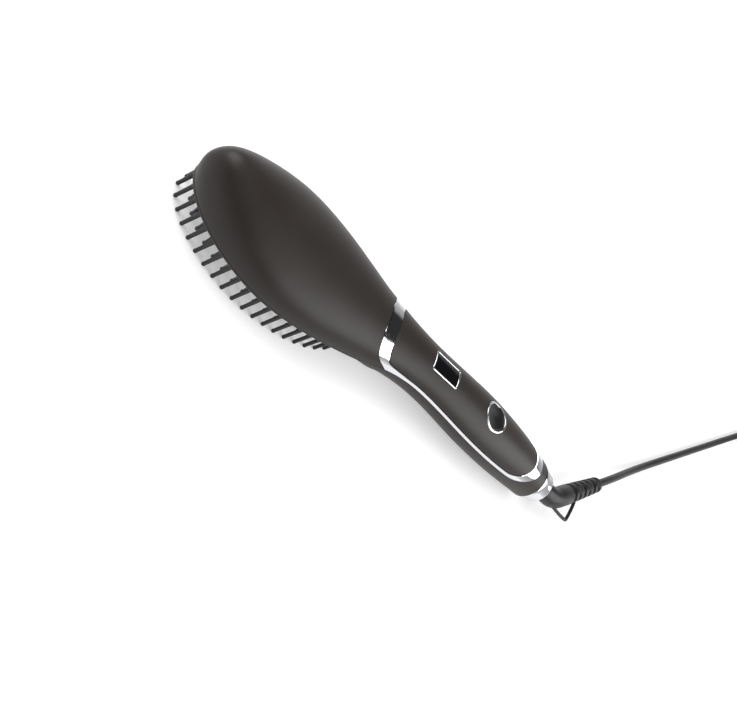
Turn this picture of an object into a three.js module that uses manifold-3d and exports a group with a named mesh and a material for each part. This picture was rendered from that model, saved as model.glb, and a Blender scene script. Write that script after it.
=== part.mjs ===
// Heated styling brush, in millimetres. +X runs from the head's tip to the cord, +Z out of the back.
// The brush lies on its pins and on the end of its tail, so z = 0 is the surface that it rests on.
import * as THREE from 'three';
import { mergeVertices } from 'three/addons/utils/BufferGeometryUtils.js';
import Module from 'manifold-3d';

const wasm = await Module();
wasm.setup();

// Lengths of the body
const HEAD_LENGTH = 121.8; // tip to the neck
const HANDLE_LENGTH = 152.5; // neck to the end of the tail
const TAIL_RING_LENGTH = 11;
const WIDEST_AT = 58.8; // from the tip to the head's widest place
const CROWN_AT = 16; // from the tip to the back's highest place

// Widths and heights of the body
const HEAD_WIDTH = 67.8;
const NECK_WIDTH = 32.4;
const GRIP_WIDTH = 36.6;
const TAIL_DIAMETER = 26.2;
const CROWN_HEIGHT = 24.4; // back cover, above its lower edge
const NOSE_POWER = 1.8; // head's outline towards the tip: 2 is an ellipse, less is more pointed
const PIN_REACH = 16.5; // pins, below the frame that carries them
const RIM_EDGE = 2; // front shell's edge, below the back cover
const WALL = 2;
const SEAM = 0.3; // gap between pieces that meet
const FIT = 0.1; // gap under pieces that are clamped or glued
const SECTION_POINTS = 20;
const FACET = 0.08; // detail smaller than this is smoothed away

// Pins around the head
const OPENING_WIDTH = 65.6;
const OPENING_FRONT = 1.2; // from the tip
const OPENING_REAR = 118.8;
const PIN_DIAMETER = 2;
const PIN_SPACING = 6.9;
const PIN_INSET = 1.35; // pins, inside the opening
const PIN_FAN = 1.3; // the foremost pin's end, ahead of its root
const PIN_FRAME_WIDTH = 3.4;
const PIN_FRAME_THICKNESS = 1.2;
const COLLAR_WALL = 1.1;
const COLLAR_HEIGHT = 2.4;

// Heater plate and its teeth
const PLATE_RECESS = 0.5; // plate, above the pin frame's underside
const PLATE_THICKNESS = 2.9;
const FLANGE_THICK = 0.9;
const TOOTH_HEIGHT = 15.7;
const TOOTH_BASE = 5.4;
const TOOTH_NECK = 1.8;
const TOOTH_BALL = 2.4;
const TOOTH_INSET = 7.4; // border teeth, inside the opening
const TOOTH_SPACING = 7.4; // along the border
const ROW_SPACING = 8.3; // along a straight row
const ROW_GAP = 11.6; // between straight rows
const STRAP_LENGTH = 104;
const STRAP_WIDTH = 14;
const STRAP_THICKNESS = 1.2;
const HEATER_THICKNESS = 1.4;
const HEATER_INSET = 14.5;
const SHEET_THICKNESS = 0.6;
const THERMISTOR_LENGTH = 6;
const THERMISTOR_DIAMETER = 2.4;
const THERMISTOR_GAP = 2; // to the heater's edge
const FUSE_LENGTH = 11;
const FUSE_DIAMETER = 4;

// Display and button
const TRIM_WIDTH = 2.1; // chrome line along the handle's side
const DISPLAY_AT = 44; // centre, behind the neck
const DISPLAY_LENGTH = 20.8;
const DISPLAY_WIDTH = 12.4;
const BEZEL_WIDTH = 1;
const BEZEL_DEPTH = 3.2;
const LENS_DEPTH = 2.6;
const BUTTON_AT = 90.6;
const BUTTON_RING_DIAMETER = 18.4;
const BUTTON_RING_WIDTH = 1.3;
const BUTTON_DISH = 1.7;
const BUTTON_TRAVEL = 0.5;
const RING_DEPTH = 3;
const CAP_FLANGE = 0.9;
const PROUD = 0.35; // bezel and ring stand this far out of the cover

// Circuit board and its parts
const BOARD_AT = 26; // front end, behind the neck
const BOARD_LENGTH = 88;
const BOARD_WIDTH = 19;
const BOARD_THICKNESS = 1.6;
const BOARD_HEIGHT = 24; // underside, above the resting surface
const SWITCH_SIZE = 6;
const SWITCH_HEIGHT = 2.2;
const PLUNGER_DIAMETER = 3;
const POST_DIAMETER = 4;
const PEG_DIAMETER = 2;
const LEAD_DIAMETER = 1.6;

// Screws
const NECK_SCREW_AT = 9.2; // behind the neck
const TAIL_SCREW_AT = 128;
const SCREW_SPREAD = 24; // between the two of a pair
const SCREW_DIAMETER = 2.6;
const SCREW_HEAD_DIAMETER = 4.8;
const SCREW_HEAD_HEIGHT = 1.8;
const SCREW_LENGTH = 9; // below the head
const SCREW_RECESS = 2; // head, inside the shell's surface
const BOSS_DIAMETER = 6.4;
const BOSS_FLOOR = 1.6;

// Swivel and tail
const BORE_DIAMETER = 13.8;
const NECK_CLEARANCE = 0.35;
const BORE_LIP = 1.6; // round boss that the tail ring sleeves over
const BORE_LIP_LENGTH = 4;
const RING_END_DIAMETER = 21.6;
const FLANGE_DIAMETER = 17.6;
const FLANGE_THICKNESS = 2.4;
const SPINDLE_DIAMETER = 8;
const SPINDLE_LENGTH = 13;
const STUB_DIAMETER = 5;
const STUB_LENGTH = 6;
const SLIP_RING_WIDTH = 2.6;
const SLIP_RING_WALL = 0.8;
const HOLDER_TOP = 5.6; // contact holder, above the resting surface
const LEAF_WIDTH = 1.8;
const LEAF_THICKNESS = 0.4;

// Strain relief with its hanging loop
const ELBOW_AT = 16; // sharp corner of the bend, behind the tail ring
const ELBOW_ANGLE = 39; // degrees, sideways
const ELBOW_RADIUS = 15;
const SLEEVE_LENGTH = 11; // smooth, behind the bend
const RIBBED_LENGTH = 40;
const RIB_COUNT = 6;
const RIB_GROOVE = 1.1; // depth
const BOOT_ROOT = 13.4;
const BOOT_END = 10.6;
const LOOP_WIRE = 2.2;
const LOOP_START = -1.5; // first foot, behind the bend's corner
const LOOP_LENGTH = 28;
const LOOP_DEPTH = 15.4; // loop's corner, from the boot's axis

// Cord, coil and plug
const CORD_DIAMETER = 5.6;
const CORD_OUT = 340; // free length, from the boot to the coil
const COIL_MEAN_DIAMETER = 64;
const COIL_PITCH = 6.15; // between loops and between layers
const COIL_LAYER_TURNS = 3.25;
const COIL_STEPS = 24; // around one loop
const COIL_SIDES = 6;
const TIE_WIDTH = 9;
const TIE_THICKNESS = 0.9;
const TIE_GAP = 0.35;
const PLUG_WIDTH = 35.3;
const PLUG_HEIGHT = 13.7;
const PLUG_LENGTH = 34;
const PLUG_RELIEF = 20;
const PLUG_PIN_LENGTH = 19;
const PLUG_PIN_DIAMETER = 4;
const PLUG_PIN_SPREAD = 18.6;

// Places that follow from the sizes above
const BODY_LENGTH = HEAD_LENGTH + HANDLE_LENGTH;
const OVERALL_LENGTH = BODY_LENGTH + TAIL_RING_LENGTH;
const RIM_Z = PIN_REACH + RIM_EDGE;
const FRAME_TOP = PIN_REACH + PIN_FRAME_THICKNESS;
const PLATE_Z = PIN_REACH + PLATE_RECESS;
const PLATE_TOP = PLATE_Z + PLATE_THICKNESS;
const HEATER_TOP = PLATE_TOP + FIT + HEATER_THICKNESS;
const SHEET_TOP = HEATER_TOP + FIT + SHEET_THICKNESS;
const STRAP_Z = SHEET_TOP + FIT;
const TAIL_Z = TAIL_DIAMETER / 2;
const BOARD_TOP = BOARD_HEIGHT + BOARD_THICKNESS;
const BOARD_X = HEAD_LENGTH + BOARD_AT;
const DISPLAY_X = HEAD_LENGTH + DISPLAY_AT;
const BUTTON_X = HEAD_LENGTH + BUTTON_AT;
const SKY = RIM_Z + 2 * CROWN_HEIGHT;

const deg = (angle) => (angle * Math.PI) / 180;
const clamp01 = (t) => Math.min(1, Math.max(0, t));
const mix = (a, b, t) => a + (b - a) * t;
const ease = (a, b, x) => (1 - Math.cos(Math.PI * clamp01((x - a) / (b - a)))) / 2;
const headX = (t) => t * HEAD_LENGTH;
const handleX = (t) => HEAD_LENGTH + t * HANDLE_LENGTH;
const crownZ = (t) => RIM_Z + t * CROWN_HEIGHT;
const pinZ = (t) => t * PIN_REACH;
const fromList = (count, make) => Array.from({ length: count }, (_, i) => make(i));

// Side view of the body: its back, its belly and the line where the shells part
const BACK = [
  [CROWN_AT, crownZ(1)],
  [headX(0.29), crownZ(0.939)],
  [headX(0.49), crownZ(0.84)],
  [headX(0.66), crownZ(0.762)],
  [headX(0.83), crownZ(0.689)],
  [handleX(0), crownZ(0.639)],
  [handleX(0.13), crownZ(0.631)],
  [handleX(0.27), crownZ(0.631)],
  [handleX(0.54), crownZ(0.611)],
  [handleX(0.74), crownZ(0.541)],
  [handleX(0.91), crownZ(0.426)],
  [BODY_LENGTH, TAIL_DIAMETER],
];
const BELLY = [
  [OPENING_REAR, PIN_REACH],
  [handleX(0.02), pinZ(0.794)],
  [handleX(0.06), pinZ(0.576)],
  [handleX(0.12), pinZ(0.473)],
  [handleX(0.27), pinZ(0.455)],
  [handleX(0.58), pinZ(0.236)],
  [handleX(0.8), pinZ(0.085)],
  [handleX(0.94), pinZ(0.03)],
  [BODY_LENGTH, 0],
];
const PARTING = [
  [-9, crownZ(0)],
  [headX(0.5), crownZ(0)],
  [headX(0.9), crownZ(0)],
  [handleX(0), crownZ(0.049)],
  [handleX(0.08), crownZ(0.148)],
  [handleX(0.16), crownZ(0.193)],
  [handleX(0.27), crownZ(0.189)],
  [handleX(0.54), crownZ(0.119)],
  [handleX(0.77), crownZ(0.045)],
  [handleX(0.84), crownZ(0.041)],
  [handleX(0.885), crownZ(0.115)],
  [handleX(0.925), crownZ(0.246)],
  [handleX(0.952), crownZ(0.389)],
  [handleX(0.966), crownZ(0.574)],
  [handleX(0.968), SKY],
];

// Chrome trim in the side view: the back cover's rear edge and the handle cover's outline
const BACK_COVER_END = [
  [handleX(0.083), crownZ(0.139)],
  [handleX(0.059), crownZ(0.213)],
  [handleX(0.026), crownZ(0.307)],
  [handleX(0), crownZ(0.43)],
  [headX(0.9778), crownZ(0.574)],
  [headX(0.9721), crownZ(0.738)],
  [headX(0.9721), SKY],
];
const HANDLE_COVER = [
  [handleX(0.0295), SKY],
  [handleX(0.0295), crownZ(0.738)],
  [handleX(0.0354), crownZ(0.574)],
  [handleX(0.0525), crownZ(0.443)],
  [handleX(0.0787), crownZ(0.328)],
  [handleX(0.16), crownZ(0.201) + TRIM_WIDTH],
  [handleX(0.27), crownZ(0.189) + TRIM_WIDTH],
  [handleX(0.54), crownZ(0.119) + TRIM_WIDTH],
  [handleX(0.77), crownZ(0.049) + TRIM_WIDTH],
  [handleX(0.82), crownZ(0.057) + TRIM_WIDTH],
  [handleX(0.86), crownZ(0.23)],
  [handleX(0.885), crownZ(0.336)],
  [handleX(0.905), crownZ(0.451)],
  [handleX(0.914), crownZ(0.615)],
  [handleX(0.915), SKY],
];

// A smooth line through a few points, read at any x. It never swings past a point.
function smoothLine(points) {
  const rise = (a, b) => (b[1] - a[1]) / (b[0] - a[0]);
  const slopes = points.map((point, i) => {
    if (i === 0) return rise(point, points[1]);
    if (i === points.length - 1) return rise(points[i - 1], point);
    const [before, after] = [rise(points[i - 1], point), rise(point, points[i + 1])];
    return before * after <= 0 ? 0 : (2 * before * after) / (before + after);
  });
  return (x) => {
    if (x <= points[0][0]) return points[0][1];
    const i = points.findIndex((point) => point[0] >= x);
    if (i < 0) return points.at(-1)[1];
    const width = points[i][0] - points[i - 1][0];
    const t = (x - points[i - 1][0]) / width;
    const blend = 3 * t ** 2 - 2 * t ** 3;
    const swing = slopes[i - 1] * (t ** 3 - 2 * t ** 2 + t) + slopes[i] * (t ** 3 - t ** 2);
    return mix(points[i - 1][1], points[i][1], blend) + width * swing;
  };
}

const backLine = smoothLine(BACK);
const bellyLine = smoothLine(BELLY);

function halfWidth(x, inset) {
  const head = HEAD_WIDTH / 2 - inset;
  const neckAt = handleX(0.27);
  const gripAt = handleX(0.6);
  const nose = clamp01((WIDEST_AT - x) / (WIDEST_AT - inset));
  if (x < WIDEST_AT) return head * (1 - nose ** NOSE_POWER) ** (1 / NOSE_POWER);
  if (x < neckAt) return mix(head, NECK_WIDTH / 2 - inset, ease(WIDEST_AT, neckAt, x));
  if (x < gripAt) return mix(NECK_WIDTH, GRIP_WIDTH, ease(neckAt, gripAt, x)) / 2 - inset;
  const round = Math.cos((Math.PI / 2) * clamp01((x - gripAt) / (BODY_LENGTH - gripAt)));
  return mix(TAIL_DIAMETER, GRIP_WIDTH, round) / 2 - inset;
}

function backHeight(x, inset) {
  if (x >= CROWN_AT) return backLine(x) - inset;
  const rise = Math.max(0, 1 - ((CROWN_AT - x) / (CROWN_AT - inset)) ** 4) ** (1 / 4);
  return RIM_Z + (CROWN_HEIGHT - inset) * rise;
}

// Heights of one cross-section, and how square its halves are: flat under the head, oval behind it
function sectionAt(x, inset) {
  const top = backHeight(x, inset);
  const full = (backHeight(x, 0) + bellyLine(x)) / 2;
  const middle = mix(RIM_Z, full, ease(headX(0.92), handleX(0.2), x));
  const bottom = Math.min(bellyLine(x) + inset, middle - 0.05);
  const square = mix(9, 2.15, ease(headX(0.86), handleX(0.1), x));
  const dome = mix(2.45, 2.1, ease(0, WIDEST_AT, x));
  return { top, middle, bottom, square, dome };
}

function bodyRing(x, inset) {
  const across = Math.max(halfWidth(x, inset), 0.05);
  const { top, middle, bottom, square, dome } = sectionAt(x, inset);
  return fromList(SECTION_POINTS, (i) => {
    const turn = (2 * Math.PI * i) / SECTION_POINTS;
    const [c, s] = [Math.cos(turn), Math.sin(turn)];
    const power = 2 / (s >= 0 ? dome : square);
    const reach = s >= 0 ? Math.max(top - middle, 0.05) : middle - bottom;
    const y = across * Math.sign(c) * Math.abs(c) ** power;
    return new THREE.Vector3(x, y, middle + reach * Math.sign(s) * Math.abs(s) ** power);
  });
}

// A closed skin through rings that have the same number of points
function loft(rings) {
  const count = rings[0].length;
  const points = rings.flat();
  const faces = [];
  for (let r = 0; r + 1 < rings.length; r += 1) {
    for (let i = 0; i < count; i += 1) {
      const [a, b] = [r * count + i, r * count + ((i + 1) % count)];
      faces.push(a, b, b + count, a, b + count, a + count);
    }
  }
  const ends = [[rings[0], 0, 1], [rings.at(-1), count * (rings.length - 1), 0]];
  for (const [ring, start, first] of ends) {
    points.push(ring.reduce((sum, point) => sum.add(point), new THREE.Vector3()).divideScalar(count));
    for (let i = 0; i < count; i += 1) {
      const edge = [start + i, start + ((i + 1) % count)];
      faces.push(points.length - 1, edge[first], edge[1 - first]);
    }
  }
  const geometry = new THREE.BufferGeometry().setFromPoints(points);
  geometry.setIndex(faces);
  return geometry;
}

function solid(geometry) {
  const bare = geometry.clone();
  bare.deleteAttribute('normal');
  bare.deleteAttribute('uv');
  const merged = mergeVertices(bare, 1e-4);
  const vertProperties = Float32Array.from(merged.attributes.position.array);
  const triVerts = Uint32Array.from(merged.index.array);
  return new wasm.Manifold(new wasm.Mesh({ numProp: 3, vertProperties, triVerts }));
}

function geometryOf(shape) {
  const mesh = shape.simplify(FACET).getMesh();
  const geometry = new THREE.BufferGeometry();
  geometry.setAttribute('position', new THREE.BufferAttribute(mesh.vertProperties, mesh.numProp));
  geometry.setIndex(new THREE.BufferAttribute(mesh.triVerts, 1));
  return geometry;
}

// Simple solids, placed by their corners, their axis or their outline
function block(low, high) {
  const size = high.map((value, i) => value - low[i]);
  const centre = low.map((value, i) => value + size[i] / 2);
  return solid(new THREE.BoxGeometry(...size).translate(...centre));
}

function post(x, y, lowZ, highZ, diameter, sides = 12) {
  const geometry = new THREE.CylinderGeometry(diameter / 2, diameter / 2, highZ - lowZ, sides);
  return solid(geometry.rotateX(Math.PI / 2).translate(x, y, (lowZ + highZ) / 2));
}

function rod(fromX, toX, y, z, diameter, sides = 14) {
  const geometry = new THREE.CylinderGeometry(diameter / 2, diameter / 2, toX - fromX, sides);
  return solid(geometry.rotateZ(Math.PI / 2).translate((fromX + toX) / 2, y, z));
}

// A piece turned on the tail's axis, from [distance from the tip, radius] corners
function turned(profile, sides = 28) {
  const points = profile.map(([along, radius]) => new THREE.Vector2(radius, along));
  return solid(new THREE.LatheGeometry(points, sides).rotateZ(-Math.PI / 2).translate(0, 0, TAIL_Z));
}

function plan(points, lowZ, highZ) {
  const shape = new THREE.Shape(points.map(([x, y]) => new THREE.Vector2(x, y)));
  const geometry = new THREE.ExtrudeGeometry(shape, { depth: highZ - lowZ, bevelEnabled: false });
  return solid(geometry.translate(0, 0, lowZ));
}

function sideView(points, width = HEAD_WIDTH + 4) {
  const shape = new THREE.Shape(points.map(([x, z]) => new THREE.Vector2(x, z)));
  const geometry = new THREE.ExtrudeGeometry(shape, { depth: width, bevelEnabled: false });
  return solid(geometry.rotateX(Math.PI / 2).translate(0, width / 2, 0));
}

// A side-view line, rounded through its points and moved sideways by a gap (to the left as it runs)
function edgeLine(points, gap, steps) {
  const curve = new THREE.SplineCurve(points.map(([x, z]) => new THREE.Vector2(x, z)));
  const line = curve.getPoints(steps);
  return line.map((point, i) => {
    const along = line[Math.min(i + 1, steps)].clone().sub(line[Math.max(i - 1, 0)]).normalize();
    return [point.x - gap * along.y, point.y + gap * along.x];
  });
}

function sweep(extrudePath, diameter, sides, steps) {
  const corners = fromList(sides, (i) => deg((360 * i) / sides));
  const radius = diameter / 2;
  const shape = new THREE.Shape(
    corners.map((turn) => new THREE.Vector2(radius * Math.cos(turn), radius * Math.sin(turn))),
  );
  return solid(new THREE.ExtrudeGeometry(shape, { steps, extrudePath, bevelEnabled: false }));
}

function tube(points, diameter, sides, steps) {
  const places = points.map((point) => new THREE.Vector3(...point));
  return sweep(new THREE.CatmullRomCurve3(places, false, 'centripetal'), diameter, sides, steps);
}

const joined = (shapes) => wasm.Manifold.union(shapes);

// Pieces of the model, under one group that puts the brush's middle at x = 0
const root = new THREE.Group();
root.position.x = -OVERALL_LENGTH / 2;

const FINISHES = {
  shell: ['#4b4644', 0.55, 0],
  black: ['#1d1c1c', 0.5, 0],
  navy: ['#14161f', 0.22, 0.1],
  chrome: ['#d9dadc', 0.12, 1],
  gloss: ['#0b0b0d', 0.08, 0],
  steel: ['#8d8f92', 0.35, 1],
  brass: ['#b59a55', 0.3, 1],
  board: ['#2c5a3c', 0.6, 0],
  mica: ['#b9a37c', 0.5, 0],
  white: ['#d8d4cc', 0.6, 0],
  cord: ['#161616', 0.6, 0],
};

function add(name, finish, shape) {
  const [color, roughness, metalness] = FINISHES[finish];
  const material = new THREE.MeshStandardMaterial({ color, roughness, metalness });
  const mesh = new THREE.Mesh(geometryOf(shape), material);
  mesh.name = name;
  root.add(mesh);
}

// The body as a solid, drawn in from its surface by an inset
function body(inset, end = BODY_LENGTH - Math.max(inset, 0), steps = 21) {
  const start = headX(0.2);
  const nose = [0.003, 0.02, 0.07, 0.15, 0.28, 0.45, 0.7].map((t) => mix(inset, start, t));
  const rest = fromList(steps + 1, (i) => mix(start, end, i / steps));
  return solid(loft([...nose, ...rest].map((x) => bodyRing(x, inset))));
}

const outerBody = body(0);
const skin = outerBody.subtract(body(WALL));
const inside = body(WALL + SEAM);

// The shells part along one line. The chrome trim fills the space between the two covers above it.
const partingAt = (gap) => edgeLine(PARTING, gap, 28);
const belowParting = [[BODY_LENGTH + 9, SKY], [BODY_LENGTH + 9, -9], [-9, -9]];
const upperRegion = sideView([...partingAt(SEAM / 2), [-9, SKY]]);
const lowerRegion = sideView([...partingAt(-SEAM / 2), ...belowParting]);
const behindHead = [[-9, SKY], [-9, 0], [handleX(0.083), 0]];
const headRegion = (gap) => sideView([...edgeLine(BACK_COVER_END, gap, 12), ...behindHead]);
const coverRegion = (gap) => sideView(edgeLine(HANDLE_COVER, gap, 28));

function backCover() {
  return skin.intersect(upperRegion).intersect(headRegion(0));
}

function chromeTrim() {
  return skin.intersect(upperRegion).subtract(headRegion(-SEAM)).subtract(coverRegion(-SEAM));
}

// The oval opening under the head, drawn in by an inset. The pins and the teeth follow it.
function openingPoint(angle, inset) {
  const [c, s] = [Math.cos(angle), Math.sin(angle)];
  const power = 2 / (c > 0 ? 2.15 : NOSE_POWER);
  const reach = c > 0 ? OPENING_REAR - WIDEST_AT : WIDEST_AT - OPENING_FRONT;
  const x = WIDEST_AT + (reach - inset) * Math.sign(c) * Math.abs(c) ** power;
  return [x, (OPENING_WIDTH / 2 - inset) * Math.sign(s) * Math.abs(s) ** power];
}

function oval(inset, lowZ, highZ, sides = 32) {
  return plan(fromList(sides, (i) => openingPoint((2 * Math.PI * i) / sides, inset)), lowZ, highZ);
}

// Evenly spaced places along the opening, from the tip round both sides
function alongOpening(inset, spacing, phase) {
  const track = fromList(901, (i) => openingPoint(Math.PI * (1 - i / 900), inset));
  const lengths = [0];
  for (let i = 1; i < track.length; i += 1) {
    const step = Math.hypot(track[i][0] - track[i - 1][0], track[i][1] - track[i - 1][1]);
    lengths.push(lengths[i - 1] + step);
  }
  const total = lengths.at(-1);
  const gaps = Math.round(total / spacing);
  const places = [];
  for (let n = 0; n + phase <= gaps; n += 1) {
    const goal = ((n + phase) * total) / gaps;
    const [x, y] = track[lengths.findIndex((value) => value >= goal - 1e-6)];
    places.push([x, y]);
    if (y > spacing / 3) places.push([x, -y]);
  }
  return places;
}

// Screws come up through the front shell into posts under the handle cover
const screwPlaces = [NECK_SCREW_AT, TAIL_SCREW_AT].flatMap((at) =>
  [-1, 1].map((side) => [HEAD_LENGTH + at, (side * SCREW_SPREAD) / 2]),
);
const pegPlaces = [0.33, 0.93].flatMap((t) =>
  [-1, 1].map((side) => [BOARD_X + t * BOARD_LENGTH, side * (BOARD_WIDTH / 2 - 3)]),
);

function screwSeat([x, y]) {
  const { middle, bottom, square } = sectionAt(x, 0);
  const side = (Math.abs(y) - SCREW_HEAD_DIAMETER / 2) / halfWidth(x, 0);
  const surface = middle - (middle - bottom) * (1 - side ** square) ** (1 / square);
  return surface + SCREW_RECESS + SCREW_HEAD_HEIGHT;
}

function screw(place) {
  const seat = screwSeat(place);
  const low = seat - SCREW_HEAD_HEIGHT;
  const slots = [0, 90].map((turn) => {
    const cut = block([-1.5, -0.35, low - 1], [1.5, 0.35, low + 0.8]);
    return cut.rotate([0, 0, turn]).translate([...place, 0]);
  });
  const shank = post(...place, seat - 0.1, seat + SCREW_LENGTH, SCREW_DIAMETER, 8);
  return post(...place, low, seat, SCREW_HEAD_DIAMETER, 12).add(shank).subtract(joined(slots));
}

// Front shell: the rim round the head with its ledge and locating rib, the belly and the tail's collar
function frontShell() {
  const room = inside.add(outerBody.intersect(lowerRegion));
  const ledge = oval(-0.2, FRAME_TOP + SEAM / 2, RIM_Z - SEAM / 2);
  const rib = oval(1.65, FRAME_TOP + SEAM / 2, RIM_Z + 1.5);
  let shape = skin.intersect(lowerRegion).add(ledge.intersect(outerBody)).add(rib).add(fairing());
  shape = shape.subtract(oval(2.4, -9, RIM_Z + 9));
  shape = shape.subtract(oval(0, PIN_REACH - SEAM, FRAME_TOP + SEAM / 2));
  for (const place of screwPlaces) {
    const seat = screwSeat(place);
    shape = shape.add(post(...place, -9, seat + BOSS_FLOOR, BOSS_DIAMETER).intersect(room));
    shape = shape.subtract(post(...place, -9, seat, SCREW_HEAD_DIAMETER + 2 * SEAM));
    shape = shape.subtract(post(...place, -9, SKY, SCREW_DIAMETER + 2 * SEAM, 10));
  }
  for (const place of pegPlaces) {
    const support = post(...place, -9, BOARD_HEIGHT - FIT, POST_DIAMETER, 8);
    const peg = post(...place, 0, BOARD_TOP, PEG_DIAMETER, 6);
    shape = shape.add(support.add(peg).intersect(room));
  }
  return shape.add(tailLip()).subtract(tailBore());
}

// Three-sided fairing that leads from the opening's rear end down to the belly
function fairing() {
  const from = OPENING_REAR - PIN_DIAMETER / 2;
  const to = handleX(0.13);
  const end = bellyLine(to);
  const ring = (x, half, low, high) => [
    new THREE.Vector3(x, half, high),
    new THREE.Vector3(x, -half, high),
    new THREE.Vector3(x, -half, low + 0.35 * half),
    new THREE.Vector3(x, 0, low),
    new THREE.Vector3(x, half, low + 0.35 * half),
  ];
  const top = PIN_REACH - 2 * SEAM;
  return solid(loft([ring(from, 7.2, PIN_REACH - 3, top), ring(to, 0.4, end - 0.25, end + 1)]));
}

function tailBore() {
  const [from, to, radius] = [BODY_LENGTH - 5, BODY_LENGTH + 9, BORE_DIAMETER / 2];
  return turned([[from, 0], [from, radius], [to, radius], [to, 0]]);
}

function tailLip() {
  const [from, to] = [BODY_LENGTH - WALL / 2, BODY_LENGTH + BORE_LIP_LENGTH];
  const radius = BORE_DIAMETER / 2 + BORE_LIP;
  return turned([[from, 0], [from, radius], [to, radius], [to, 0]]);
}

// A shape made square to the back at a place along it: its z = 0 lies on the back's surface there
function onBack(shape, x) {
  const slope = Math.atan2(backLine(x - 4) - backLine(x + 4), 8);
  return shape.rotate([0, (slope * 180) / Math.PI, 0]).translate([x, 0, backLine(x)]);
}

function roundedRectangle(length, width, radius) {
  const [a, b] = [length / 2 - radius, width / 2 - radius];
  const corners = [[a, b, 0], [-a, b, 90], [-a, -b, 180], [a, -b, 270]];
  return corners.flatMap(([x, y, start]) =>
    [0, 30, 60, 90].map((turn) => [
      x + radius * Math.cos(deg(start + turn)),
      y + radius * Math.sin(deg(start + turn)),
    ]),
  );
}

function displayPrism(grow, low, high) {
  const [length, width] = [DISPLAY_LENGTH + 2 * grow, DISPLAY_WIDTH + 2 * grow];
  return onBack(plan(roundedRectangle(length, width, Math.max(0.6, 1.4 + grow)), low, high), DISPLAY_X);
}

function buttonPost(diameter, low, high, sides = 24) {
  return onBack(post(0, 0, low, high, diameter, sides), BUTTON_X);
}

// Handle cover, with its window, its button hole and the posts that reach down to screws and board
function handleCover() {
  const cover = upperRegion.intersect(coverRegion(0));
  const room = inside.add(outerBody.intersect(cover));
  let shape = skin.intersect(cover);
  for (const place of pegPlaces) {
    shape = shape.add(post(...place, BOARD_TOP + FIT, SKY, POST_DIAMETER, 8).intersect(room));
  }
  for (const place of screwPlaces) {
    const low = screwSeat(place) + BOSS_FLOOR + FIT;
    const hole = post(...place, low - 1, screwSeat(place) + SCREW_LENGTH + 1, SCREW_DIAMETER + FIT, 8);
    shape = shape.add(post(...place, low, SKY, BOSS_DIAMETER - 1, 10).intersect(room)).subtract(hole);
  }
  const buttonHole = buttonPost(BUTTON_RING_DIAMETER + 2 * SEAM, -9, 9);
  return shape.subtract(displayPrism(SEAM, -9, 9)).subtract(buttonHole);
}

add('back_cover', 'shell', backCover());
add('front_shell', 'shell', frontShell());
add('handle_cover', 'shell', handleCover());
add('chrome_trim', 'chrome', chromeTrim());
screwPlaces.forEach((place, i) => add(`case_screw_${i + 1}`, 'steel', screw(place)));

// Display: a chrome frame that follows the cover's curve, and a glossy lens inside it
const proudBody = body(-PROUD, BODY_LENGTH - 9);

function displayBezel() {
  const hole = displayPrism(-BEZEL_WIDTH, -BEZEL_DEPTH - 1, 10);
  return displayPrism(0, -BEZEL_DEPTH, 9).subtract(hole).intersect(proudBody);
}

add('display_bezel', 'chrome', displayBezel());
add('display_lens', 'gloss', displayPrism(-BEZEL_WIDTH - FIT, -LENS_DEPTH, 9).intersect(outerBody));

// Button: a chrome ring, and a dished cap with a flange that keeps it under the ring
const capRadius = BUTTON_RING_DIAMETER / 2 - BUTTON_RING_WIDTH - SEAM;
const capFlangeTop = -RING_DEPTH - SEAM;
const capBottom = capFlangeTop - CAP_FLANGE;

function buttonRing() {
  const hole = buttonPost(BUTTON_RING_DIAMETER - 2 * BUTTON_RING_WIDTH, -RING_DEPTH - 1, 10);
  return buttonPost(BUTTON_RING_DIAMETER, -RING_DEPTH, 9).subtract(hole).intersect(proudBody);
}

function buttonCap() {
  const profile = [
    [0, capBottom],
    [capRadius + CAP_FLANGE, capBottom],
    [capRadius + CAP_FLANGE, capFlangeTop],
    [capRadius, capFlangeTop],
    [capRadius, 0.4],
    [capRadius - 0.6, 0.3],
    [capRadius - 2, -BUTTON_DISH * 0.5],
    [capRadius - 4.2, -BUTTON_DISH * 0.9],
    [0, -BUTTON_DISH],
  ];
  const points = profile.map(([radius, z]) => new THREE.Vector2(radius, z));
  const cap = solid(new THREE.LatheGeometry(points, 20).rotateX(Math.PI / 2));
  return onBack(cap, BUTTON_X).intersect(outerBody);
}

// The plunger stands in the switch, clear of its floor by more than the travel
const switchTop = BOARD_TOP + FIT + SWITCH_HEIGHT;
const plungerLow = switchTop - backLine(BUTTON_X) - 0.5;

function tactSwitch() {
  const half = SWITCH_SIZE / 2;
  const box = block([BUTTON_X - half, -half, BOARD_TOP + FIT], [BUTTON_X + half, half, switchTop]);
  const bore = buttonPost(PLUNGER_DIAMETER + 2 * SEAM, plungerLow - BUTTON_TRAVEL - SEAM, 0, 12);
  return box.subtract(bore);
}

add('button_ring', 'chrome', buttonRing());
add('button_cap', 'black', buttonCap());
add('switch_plunger', 'black', buttonPost(PLUNGER_DIAMETER, plungerLow, capBottom - FIT, 12));
add('tact_switch', 'black', tactSwitch());

// Pin frame: a flat ring with a collar inside it, and slim pins that fan out a little at the nose
function pin([x, y]) {
  const fan = PIN_FAN * clamp01((WIDEST_AT - x) / (WIDEST_AT - OPENING_FRONT));
  const stations = [[PIN_REACH + 0.4, 1, 0], [0.7, 1, fan], [0, 0.4, fan]];
  const rings = stations.map(([z, share, ahead]) =>
    fromList(6, (i) => {
      const [turn, radius] = [deg(60 * i), (share * PIN_DIAMETER) / 2];
      return new THREE.Vector3(x - ahead + radius * Math.cos(turn), y - radius * Math.sin(turn), z);
    }),
  );
  return solid(loft(rings));
}

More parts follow.
